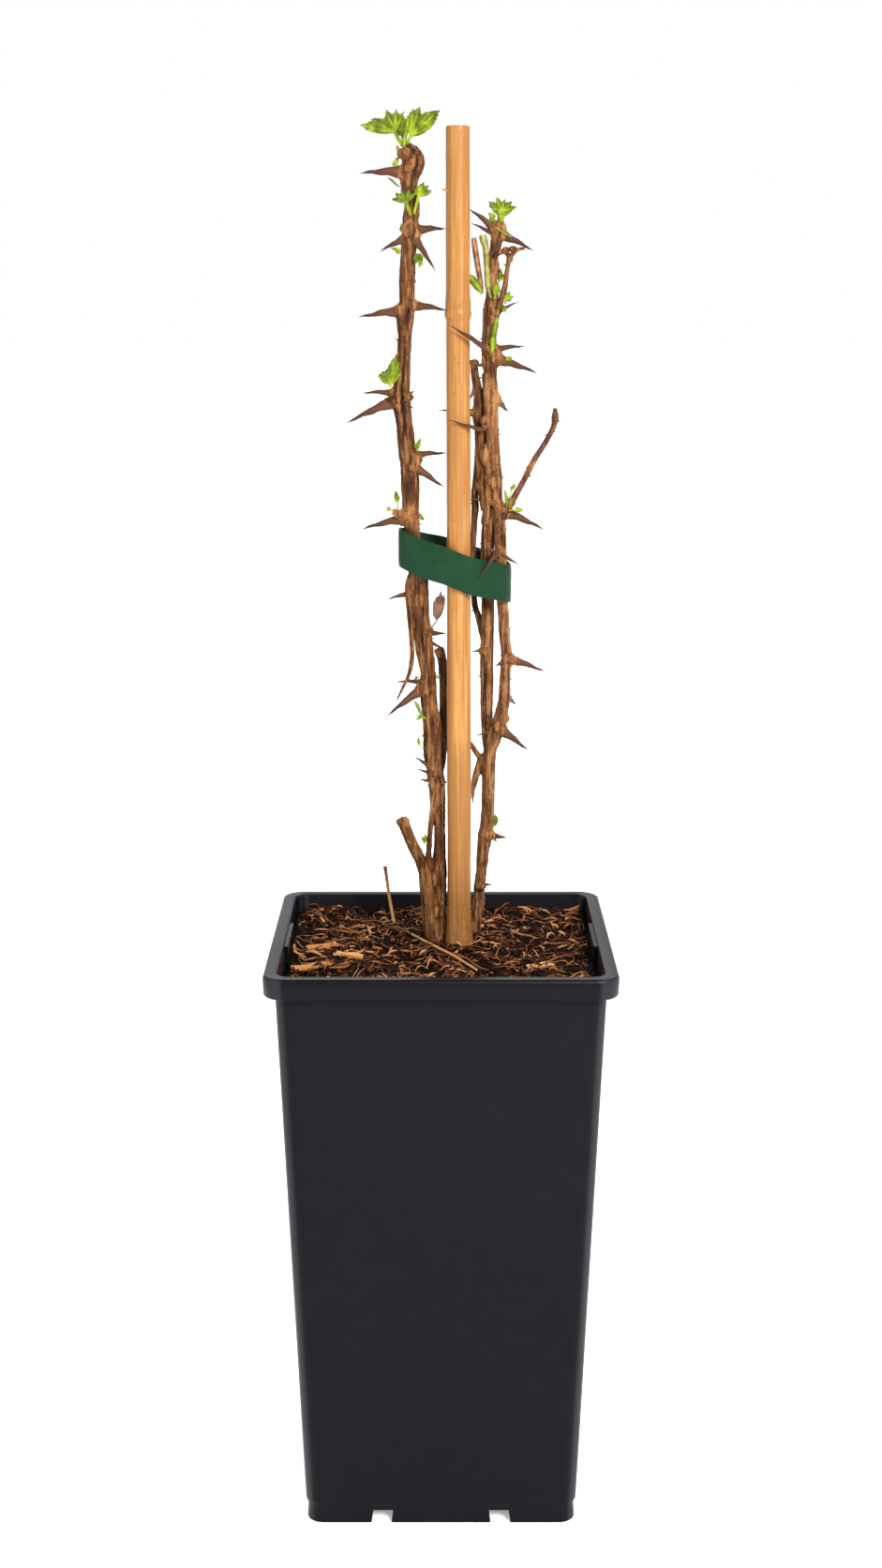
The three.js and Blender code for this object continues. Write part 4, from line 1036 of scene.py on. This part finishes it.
class BUSH_OT_pot(bpy.types.Operator):
    """Mould the pot: a tapered shell with a turned-down rim, a notched foot ring and a floor"""

    bl_idname = "bush.pot"
    bl_label = "Mould the pot"

    def execute(self, context):
        settings = context.scene.bush_pot
        _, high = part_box("pot")
        rim, top, wall = high.x / MM, high.z / MM, settings.wall / MM
        # half width, height and corner radius of each ring, from the inside of the foot out, up and in
        rings = [
            (rim - 16.2, 7.2, 4.6), (rim - 15.6, 5, 5), (rim - 13.7, 5, 6.4), (rim - 13.5, 7.4, 6.5),
            (rim - 12.9, 8, 7), (rim - 12.8, 9, 7), (rim - 4.3, top - 8.3, 7),
            (rim - 1.5, top - 8.1, 7.4), (rim - 0.6, top - 7.9, 8.2), (rim - 0.2, top - 7.2, 8.6),
            (rim, top - 1.6, 8.8), (rim - 0.3, top - 0.5, 8.5), (rim - 0.9, top, 8),
            (rim - 4.5, top, 5.8), (rim - 5.1, top - 0.2, 5.6), (rim - 5.4, top - 0.9, 5.5),
            (rim - 12.8 - wall, 9.2, 5.2),
        ]
        bm = bmesh.new()
        half, z, radius = rings[0]
        rounded_square(bm, half * MM, radius * MM)
        bmesh.ops.translate(bm, vec=(0, 0, z * MM), verts=bm.verts[:])
        edges = bm.edges[:]
        for (half, z, radius), (next_half, next_z, next_radius) in zip(rings, rings[1:]):
            grown = bmesh.ops.extrude_edge_only(bm, edges=edges)["geom"]
            ring = [part for part in grown if isinstance(part, bmesh.types.BMVert)]
            edges = [part for part in grown if isinstance(part, bmesh.types.BMEdge)]
            flat, next_flat = half - radius, next_half - next_radius
            for vert in ring:
                for axis in (0, 1):
                    size = abs(vert.co[axis]) / MM
                    over = max(0.0, size - flat)
                    inner = min(size, flat) / flat * next_flat
                    vert.co[axis] = math.copysign((inner + over / radius * next_radius) * MM, vert.co[axis])
                vert.co.z = next_z * MM
        bmesh.ops.edgeloop_fill(bm, edges=edges)
        bmesh.ops.recalc_face_normals(bm, faces=bm.faces[:])
        self.cut_feet(bm, rim)
        lug_size = Vector((1.8, 34, 7.2)) * MM
        for side in (-1, 1):
            lug = bmesh.new()
            bmesh.ops.create_cube(lug, size=1.0)
            bmesh.ops.scale(lug, vec=lug_size, verts=lug.verts)
            bmesh.ops.translate(lug, vec=Vector((side * (rim - 6), 0, top - 4.4)) * MM, verts=lug.verts)
            join(bm, lug)
        plastic = moulded_polypropylene("Polypropylene, injection moulded", (*settings.colour, 1))
        piece = show("nursery_pot", bm, [plastic], ["pot"], sharp=38)
        soften = piece.modifiers.new("Soft edges", "BEVEL")
        soften.width, soften.segments, soften.limit_method = 0.35 * MM, 2, "ANGLE"
        soften.angle_limit = math.radians(40)
        soften.harden_normals = True
        return {"FINISHED"}

    def cut_feet(self, bm, rim):
        """Notch the foot ring: its underside is split and the feet are drawn down to the floor."""
        for axis in (0, 1):
            for place in (-26, -18.4, 18.4, 26):
                normal = Vector((0, 0, 0))
                normal[axis] = 1
                spot = Vector((0, 0, 0))
                spot[axis] = place * MM
                under = [f for f in bm.faces if f.calc_center_median().z < 8.1 * MM]
                geom = {g for f in under for g in (*f.verts, *f.edges, f)}
                bmesh.ops.bisect_plane(bm, geom=list(geom), plane_co=spot, plane_no=normal, dist=1e-7)
        feet = []
        for f in bm.faces:
            centre = f.calc_center_median()
            if abs(centre.z - 5 * MM) > 0.2 * MM or abs(f.normal.z) < 0.9:
                continue
            across, along = sorted((abs(centre.x) / MM, abs(centre.y) / MM))
            if along > rim - 17 and not 18.4 < across < 26:
                feet.append(f)
        grown = bmesh.ops.extrude_face_region(bm, geom=feet)["geom"]
        verts = [part for part in grown if isinstance(part, bmesh.types.BMVert)]
        bmesh.ops.delete(bm, geom=feet, context="FACES")
        bmesh.ops.translate(bm, vec=(0, 0, -5 * MM), verts=verts)
        for vert in verts:
            for axis in (0, 1):
                size = abs(vert.co[axis]) / MM
                inward = -0.7 if size < 19 else 0.7 if size < 27 else -0.3
                vert.co[axis] += math.copysign(inward * MM, vert.co[axis]) if size > 10 else 0.0


class BUSH_OT_stake(bpy.types.Operator):
    """Set the bamboo stake: a hollow culm with ringed nodes and a sawn top"""

    bl_idname = "bush.stake"
    bl_label = "Set the stake"

    def execute(self, context):
        settings = context.scene.bush_stake
        low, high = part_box("bamboo_stake")
        foot, head = Vector((7.6, 4, low.z / MM)), Vector((6.0, 4, high.z / MM))
        nodes = (100, 214, 455.5)
        profile = []
        z = foot.z
        while z <= head.z - 1:
            swell = sum(
                0.5 * math.exp(-(((z - n) / 1.3) ** 2)) + 0.35 * math.exp(-(((z - n - 3) / 3.2) ** 2))
                - 0.12 * math.exp(-(((z - n + 2.6) / 0.8) ** 2)) for n in nodes
            )
            profile.append((z, swell))
            z += 0.6 if any(abs(z - n) < 8 for n in nodes) else 3.0
        share = lambda z: (z - foot.z) / (head.z - foot.z)
        line = []
        for z, swell in profile:
            middle = foot.lerp(head, share(z))
            bend = 0.25 * noise.noise(Vector((z * 0.012, 3.3, 0)))
            radius = 4.75 - 0.4 * share(z) + swell + 0.1 * noise.noise(Vector((z * 0.03, 7.7, 0)))
            if 212 < z < 240:
                radius += 0.5 * math.exp(-(((z - 216) / 9) ** 2))
            line.append((Vector((middle.x + bend, middle.y, z)) * MM, radius * MM))
        edge, chamfer, bore_depth = 4.35, 0.7, 9
        line += [
            (Vector((head.x, head.y, head.z - chamfer)) * MM, edge * MM),
            (Vector((head.x, head.y, head.z - 0.15)) * MM, (edge - 0.25) * MM),
            (head * MM, (edge - chamfer) * MM),
        ]
        bm = tube(line, 40)
        cap = [f for f in bm.faces if f.calc_center_median().z > (head.z - 0.05) * MM and f.normal.z > 0.9]
        bmesh.ops.inset_region(bm, faces=cap, thickness=(edge - chamfer) * MM - settings.bore)
        bmesh.ops.translate(bm, vec=(0, 0, -0.15 * MM), verts=cap[0].verts[:])
        inner = bmesh.ops.extrude_face_region(bm, geom=cap)["geom"]
        verts = [part for part in inner if isinstance(part, bmesh.types.BMVert)]
        bmesh.ops.delete(bm, geom=cap, context="FACES")
        bmesh.ops.translate(bm, vec=(0, 0, -bore_depth * MM), verts=verts)
        for vert in bm.verts:
            around = math.atan2(vert.co.y - 4 * MM, vert.co.x - 6.6 * MM)
            facets = 0.07 * MM * math.cos(3 * around + 0.6) + 0.05 * MM * noise.noise(vert.co * 300)
            out = Vector((math.cos(around), math.sin(around), 0))
            vert.co += out * facets
        splinter = [(2.6, 2, 499.4, 0.5), (1.2, 1.4, 500, 0.4), (0.1, 1, 499.6, 0.1)]
        join(bm, tube(along_rows(splinter, 0.5 * MM), 6))
        culm = dried_bamboo("Bamboo, dried", (*settings.colour, 1), earth_line=214.5 * MM)
        show("bamboo_culm", bm, [culm], ["bamboo_stake"], sharp=45)
        return {"FINISHED"}


class BUSH_OT_tie(bpy.types.Operator):
    """Tie the strip: a flat green band in a closed loop round the canes and the stake"""

    bl_idname = "bush.tie"
    bl_label = "Tie the strip"

    def execute(self, context):
        settings = context.scene.bush_tie
        loop = [
            (-15.1, 5.5), (-12.5, 1.2), (-4, -0.9), (6.5, -1.4), (15, 0.2), (21.9, 4.4), (25.8, 10.2),
            (24, 16.3), (17, 20.4), (10, 21.3), (0, 17.2), (-10, 11.8),
        ]
        rows = [(x, y, 0, 1) for x, y in loop]
        line = [spot for spot, _ in along_rows([rows[-1], *rows, rows[0], rows[1]], 0.9 * MM)]
        start = Vector((*loop[0], 0)) * MM
        away = [(spot - start).length for spot in line]
        first = min(range(len(line) // 2), key=away.__getitem__)
        last = min(range(len(line) // 2, len(line)), key=away.__getitem__)
        line = line[first:last]
        width = 14.2
        bm = bmesh.new()
        bmesh.ops.create_grid(bm, x_segments=len(line), y_segments=10, size=1.0)
        uv = bm.loops.layers.uv.new("strip")
        for face in bm.faces:
            for corner in face.loops:
                x, y = corner.vert.co.xy
                corner[uv].uv = ((x + 1) * len(line) * 0.45 * MM, y * width / 2 * MM)
        for vert in bm.verts:
            k = round((vert.co.x + 1) / 2 * len(line)) % len(line)
            spot, share = line[k], (vert.co.y + 1) / 2
            x, y = spot.x / MM, spot.y / MM
            out = (line[(k + 1) % len(line)] - line[k - 1]).normalized().cross(UP)
            top = 370.9 - 0.355 * x + 0.1 * y + 0.25 * math.sin(x * 0.35 + 1)
            ripple = 0.12 * noise.noise(Vector((x * 0.2, y * 0.2, share * 3)))
            cup = 0.22 * (1 - (2 * share - 1) ** 2) + ripple
            vert.co = Vector((x + out.x * cup, y + out.y * cup, top - width * (1 - share))) * MM
        bmesh.ops.remove_doubles(bm, verts=bm.verts[:], dist=1e-6)
        bmesh.ops.recalc_face_normals(bm, faces=bm.faces[:])
        outside = max(bm.faces, key=lambda f: f.calc_center_median().x)
        if outside.normal.x < 0:
            bmesh.ops.reverse_faces(bm, faces=bm.faces[:])
        bmesh.ops.solidify(bm, geom=bm.faces[:], thickness=-settings.thickness)
        bmesh.ops.recalc_face_normals(bm, faces=bm.faces[:])
        strip = soft_strip("PVC strip, extruded", (*settings.colour, 1))
        piece = show("plant_tie", bm, [strip], ["tie_band"], sharp=50)
        soften = piece.modifiers.new("Soft edges", "BEVEL")
        soften.width, soften.segments, soften.limit_method = 0.14 * MM, 2, "ANGLE"
        soften.angle_limit = math.radians(50)
        return {"FINISHED"}


class BUSH_OT_canes(bpy.types.Operator):
    """Grow the canes: barked stems with knots, spines, prickles and pruned ends"""

    bl_idname = "bush.canes"
    bl_label = "Grow the canes"

    def execute(self, context):
        settings = context.scene.bush_canes
        spine = horn("Spine wood", rgb("#613c1e"), (*settings.spine, 1), rgb("#2e190d"))
        brown = (*settings.colour, 1)
        old = stretched_bark("Gooseberry bark, weathered", rgb("#251104"), brown, rgb("#7c5432"))
        pale = stretched_bark("Gooseberry bark, ripened", rgb("#2b1607"), rgb("#664023"), rgb("#8c6340"))
        young = stretched_bark("Gooseberry bark, young", rgb("#2e170e"), rgb("#4a2a1b"), rgb("#6b4530"), 0.6)
        jobs = [
            ("left_cane", 0.5, 1.0, 3.6, old, 70), ("left_stub", 0.4, 0.8, 1.1, old, 8),
            ("left_inner_shoot", 0.32, 0.6, 2.2, old, 6), ("right_cane", 0.45, 0.9, 5.2, pale, 60),
            ("right_inner_cane", 0.4, 0.8, 0.7, pale, 20), ("right_back_cane", 0.35, 0.6, 4.1, old, 14),
            ("right_twig", 0.24, 0.4, 2.9, young, 8), ("right_dry_spur", 0.2, 0.5, 1.7, old, 4),
        ]
        for name, voxel, depth, seed, bark, prickles in jobs:
            bm = wood(name, voxel * MM, depth * settings.depth, seed)
            add_spines(bm, name, seed)
            add_prickles(bm, name, prickles, seed)
            show(name + "_bark", bm, [bark, spine], [name])
        return {"FINISHED"}


class BUSH_OT_leaves(bpy.types.Operator):
    """Open the leaves: pleated, toothed young leaves on their stalks"""

    bl_idname = "bush.leaves"
    bl_label = "Open the leaves"

    def execute(self, context):
        settings = context.scene.bush_leaves
        green = leaf_flesh("Leaf, fresh", rgb("#2e3d03"), (*settings.colour, 1), rgb("#7c8a1a"))
        bronze = leaf_flesh("Leaf, bronze", rgb("#33201a"), rgb("#52362c"), rgb("#6f5240"))
        for seed, (name, row) in enumerate(FANS.items()):
            flesh = bronze if name in BRONZE_LEAVES else green
            show(name.replace("leaf_", "young_leaf_"), leaf(row, seed), [flesh], [name])
        drying = leaf_flesh("Leaf, drying", rgb("#4a3f18"), rgb("#6b6326"), rgb("#8d8a50"))
        dried = leaf_flesh("Bract, dried", rgb("#42291a"), rgb("#6b472b"), rgb("#a27c58"))
        special = {"leaf_right_blade": drying, "leaf_right_bract": dried}
        for name, rows in STRAPS.items():
            flesh = special.get(name, green)
            show(name.replace("leaf_", "young_leaf_"), strap(rows), [flesh], [name])
        buds = bmesh.new()
        for seed, row in enumerate(BUDS):
            join(buds, leaf(row, seed + 50))
        show("small_buds", buds, [green])
        return {"FINISHED"}


def ground(x, y):
    """Height of the compost's surface in millimetres, with the mound round the stems."""
    mound = 2.2 * math.exp(-((x - 4) ** 2 + (y - 8) ** 2) / 420)
    clods = 1.8 * noise.noise(Vector((x * 0.07, y * 0.07, 1.7)))
    lumps = 1.1 * noise.noise(Vector((x * 0.2, y * 0.2, 8.1)))
    return 212.6 + 0.03 * y + mound + clods + lumps


class BUSH_OT_compost(bpy.types.Operator):
    """Fill the pot: a crumbly block of compost with strands of coir and bark over it"""

    bl_idname = "bush.compost"
    bl_label = "Fill the pot"

    def execute(self, context):
        settings = context.scene.bush_compost
        low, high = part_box("compost")
        bm = bmesh.new()
        count = 150
        half = high.x - 0.2 * MM
        bmesh.ops.create_grid(bm, x_segments=count, y_segments=count, size=half)
        for vert in bm.verts:
            x, y = vert.co.x / MM, vert.co.y / MM
            over_x, over_y = max(0, abs(x) - 53.6), max(0, abs(y) - 53.6)
            away = math.hypot(over_x, over_y)
            if away > 5.2:
                x -= math.copysign(over_x * (1 - 5.2 / away), x)
                y -= math.copysign(over_y * (1 - 5.2 / away), y)
            crumbs = 0.9 * noise.noise(Vector((x * 0.6, y * 0.6, 2.2)))
            dust = 0.6 * noise.noise(Vector((x * 1.3, y * 1.3, 5)))
            vert.co = Vector((x, y, ground(x, y) + crumbs + dust)) * MM
        rim = [e for e in bm.edges if e.is_boundary]
        grown = bmesh.ops.extrude_edge_only(bm, edges=rim)["geom"]
        verts = [part for part in grown if isinstance(part, bmesh.types.BMVert)]
        foot = 50.2 / 58.8
        for vert in verts:
            vert.co = Vector((vert.co.x * foot, vert.co.y * foot, low.z + 0.3 * MM))
        bmesh.ops.edgeloop_fill(bm, edges=[part for part in grown if isinstance(part, bmesh.types.BMEdge)])
        bmesh.ops.recalc_face_normals(bm, faces=bm.faces[:])
        peat = loose_compost("Peat and bark compost", (*settings.colour, 1), rgb("#1c0d05"))
        show("compost_bed", bm, [peat], ["compost"])
        self.scatter(settings)
        return {"FINISHED"}

    def scatter(self, settings):
        """Strands, shreds and crumbs, each in its own brown."""
        draw = Random(41)
        strands, shreds = bmesh.new(), bmesh.new()
        for _ in range(settings.strands):
            x, y = draw.uniform(-56, 56), draw.uniform(-56, 56)
            if math.hypot(x - 3, y - 8) < 5:
                continue
            heading = draw.uniform(0, math.tau)
            bend = draw.uniform(-0.5, 0.5)
            length = draw.choice((3, 4, 5, 7, 9, 12)) * draw.uniform(0.7, 1.2)
            thick = draw.choice((0.16, 0.2, 0.28, 0.4, 0.65)) * draw.uniform(0.8, 1.2)
            lift = draw.uniform(0, 1.1)
            arch = draw.uniform(-0.4, 1.2)
            tip = draw.uniform(-0.4, 1.7)
            rows = []
            for k in range(5):
                rise = 0.4 + lift + arch * math.sin(k / 4 * math.pi) + tip * k / 4
                rows.append((x, y, ground(x, y) + rise, thick * (1 - 0.3 * abs(k - 2))))
                x += math.cos(heading) * length / 4
                y += math.sin(heading) * length / 4
                x, y = max(-57, min(57, x)), max(-57, min(57, y))
                heading += bend
            tint = draw.random() ** 1.9
            part = tube(along_rows(rows, length / 6 * MM), 4, squash=draw.choice((0.3, 0.45, 0.8)))
            join(strands, part, tint=tint)
        for _ in range(620):
            x, y = draw.uniform(-56, 56), draw.uniform(-56, 56)
            if math.hypot(x - 3, y - 8) < 5:
                continue
            size = draw.uniform(0.4, 1.2) * MM
            crumb = bmesh.new()
            bmesh.ops.create_icosphere(crumb, subdivisions=1, radius=size)
            stretch = (draw.uniform(0.7, 2.2), draw.uniform(0.5, 1.0), draw.uniform(0.3, 0.7))
            bmesh.ops.scale(crumb, vec=stretch, verts=crumb.verts)
            turn = Matrix.Rotation(draw.uniform(0, math.tau), 3, "Z")
            tilt = Matrix.Rotation(draw.uniform(-0.6, 0.6), 3, "X")
            bmesh.ops.rotate(crumb, matrix=turn @ tilt, verts=crumb.verts)
            place = Vector((x, y, ground(x, y) + draw.uniform(0.2, 1.2))) * MM
            bmesh.ops.translate(crumb, vec=place, verts=crumb.verts)
            join(shreds, crumb, tint=draw.random() ** 2.6)
        browns = [
            (0.15, rgb("#130704")), (0.5, rgb("#32180a")), (0.8, rgb("#592f18")), (1.02, rgb("#7f4c27")),
            (1.2, rgb("#a07048")),
        ]
        stops = [(place / 1.25, colour) for place, colour in browns]
        show("compost_strands", strands, [torn_fibre("Coir and bark strands", stops)])
        show("compost_crumbs", shreds, [torn_fibre("Bark crumbs", stops)], sharp=60)


class BUSH_OT_litter(bpy.types.Operator):
    """Lay the litter: straws and bark splinters on the compost"""

    bl_idname = "bush.litter"
    bl_label = "Lay the litter"

    def execute(self, context):
        straw = torn_fibre(
            "Dry stalk", [(0.2, rgb("#4c2c18")), (0.6, rgb("#8f5f38")), (0.95, rgb("#b08758"))],
        )
        bark = torn_fibre(
            "Torn bark", [(0.1, rgb("#3f2210")), (0.55, rgb("#96602f")), (1.0, rgb("#b98d5f"))],
        )
        for name, rows in STRAWS.items():
            line = along_rows(rows, 0.8 * MM)
            bm = bmesh.new()
            count = len(line)
            tint = (lambda v, k: 0.85 - 0.8 * ((k // 8) / count) ** 2) if name == "straw_standing" else 0.6
            join(bm, tube(line, 8, squash=0.75), tint=tint)
            show("dry_" + name, bm, [straw], [name])
        draw = Random(9)
        for name in CHIPS:
            low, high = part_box(name)
            middle, size = (low + high) / 2, high - low
            length = math.hypot(size.x, size.y)
            turn = math.atan2(size.y, size.x) * (1 if draw.random() < 0.6 else -1)
            bm = bmesh.new()
            bmesh.ops.create_grid(bm, x_segments=18, y_segments=5, size=0.5)
            for vert in bm.verts:
                u, v = vert.co.x, vert.co.y
                ragged = 0.1 * noise.noise(Vector((v * 9, draw.random() * 0.2, middle.x * 900)))
                wide = (0.32 - 0.14 * abs(u) + 0.05 * math.sin(u * 9)) * length
                along = u * length * (1 + ragged * abs(u))
                curl = (0.1 * u * u + 0.24 * v * v) * length
                vert.co = Vector((along, v * wide, curl))
            bmesh.ops.solidify(bm, geom=bm.faces[:], thickness=0.9 * MM)
            for vert in bm.verts:
                grain = noise.noise(Vector((vert.co.x * 150, vert.co.y * 900, middle.x * 500)))
                vert.co.z += 0.5 * MM * grain
            bmesh.ops.rotate(bm, matrix=Matrix.Rotation(turn, 3, "Z"), verts=bm.verts[:])
            bmesh.ops.translate(bm, vec=middle, verts=bm.verts[:])
            bmesh.ops.recalc_face_normals(bm, faces=bm.faces[:])
            made = bmesh.new()
            join(made, bm, tint=draw.uniform(0.35, 0.75))
            show(name.replace("bark_chip", "torn_chip"), made, [bark], [name], sharp=50)
        return {"FINISHED"}


class BUSH_OT_stage(bpy.types.Operator):
    """Set the stage: a pale floor, soft studio light and the camera"""

    bl_idname = "bush.stage"
    bl_label = "Set the stage"

    def execute(self, context):
        settings = context.scene.bush_stage
        bm = bmesh.new()
        bmesh.ops.create_grid(bm, x_segments=8, y_segments=8, size=30)
        mesh = bpy.data.meshes.new("floor")
        bm.to_mesh(mesh)
        bm.free()
        mesh.materials.append(plain_floor("Acrylic, cast white", (*settings.floor, 1)))
        floor = bpy.data.objects.new("floor", mesh)
        context.collection.objects.link(floor)

        world = bpy.data.worlds.new("studio")
        context.scene.world = world
        world.use_nodes = True
        world.node_tree.nodes["Background"].inputs["Color"].default_value = (1, 1, 1, 1)
        world.node_tree.nodes["Background"].inputs["Strength"].default_value = 1.0
        lights = [
            ("key", (0.75, -1.45, 1.2), 0.6, settings.key),
            ("fill", (-1.3, -1.0, 0.8), 0.9, settings.key * 0.16),
            ("back", (-0.4, 1.5, 1.4), 1.2, settings.key * 0.16),
        ]
        for name, place, size, power in lights:
            lamp = bpy.data.lights.new(name, "AREA")
            lamp.shape, lamp.size, lamp.energy = "SQUARE", size, power
            light = bpy.data.objects.new(name, lamp)
            light.location = place
            aim = Vector((0, 0, 0.28)) - Vector(place)
            light.rotation_euler = aim.to_track_quat("-Z", "Y").to_euler()
            context.collection.objects.link(light)

        lens = bpy.data.cameras.new("camera")
        lens.sensor_width, lens.lens = 36, 52.12
        lens.clip_start, lens.clip_end = 0.05, 100
        camera = bpy.data.objects.new("camera", lens)
        camera.location = (0, -0.85, 0.455)
        camera.rotation_euler = (math.radians(90 - 11.65), 0, 0)
        context.collection.objects.link(camera)
        context.scene.camera = camera
        context.scene.view_settings.view_transform = "Standard"
        return {"FINISHED"}


class BUSH_PT_panel(bpy.types.Panel):
    """The pieces of the bush, in the order in which they are made"""

    bl_label = "Potted gooseberry bush"
    bl_idname = "BUSH_PT_panel"
    bl_space_type = "VIEW_3D"
    bl_region_type = "UI"
    bl_category = "Bush"

    def draw(self, context):
        for operator, settings in STEPS:
            box = self.layout.box()
            box.operator(operator.bl_idname)
            if settings:
                group = getattr(context.scene, settings)
                for name in group.__annotations__:
                    box.prop(group, name)


GROUPS = {
    "bush_pot": PotSettings, "bush_stake": StakeSettings, "bush_tie": TieSettings,
    "bush_canes": CaneSettings, "bush_leaves": LeafSettings, "bush_compost": CompostSettings,
    "bush_stage": StageSettings,
}
STEPS = [
    (BUSH_OT_stage, "bush_stage"), (BUSH_OT_pot, "bush_pot"), (BUSH_OT_compost, "bush_compost"),
    (BUSH_OT_litter, None), (BUSH_OT_stake, "bush_stake"), (BUSH_OT_canes, "bush_canes"),
    (BUSH_OT_leaves, "bush_leaves"), (BUSH_OT_tie, "bush_tie"),
]


def register():
    for group in GROUPS.values():
        bpy.utils.register_class(group)
    for name, group in GROUPS.items():
        setattr(bpy.types.Scene, name, PointerProperty(type=group))
    for operator, _ in STEPS:
        bpy.utils.register_class(operator)
    bpy.utils.register_class(BUSH_PT_panel)


def unregister():
    bpy.utils.unregister_class(BUSH_PT_panel)
    for operator, _ in STEPS:
        bpy.utils.unregister_class(operator)
    for name, group in GROUPS.items():
        delattr(bpy.types.Scene, name)
        bpy.utils.unregister_class(group)


def main():
    register()
    for operator, _ in STEPS:
        family, action = operator.bl_idname.split(".")
        getattr(getattr(bpy.ops, family), action)()


if __name__ == "__main__":
    main()
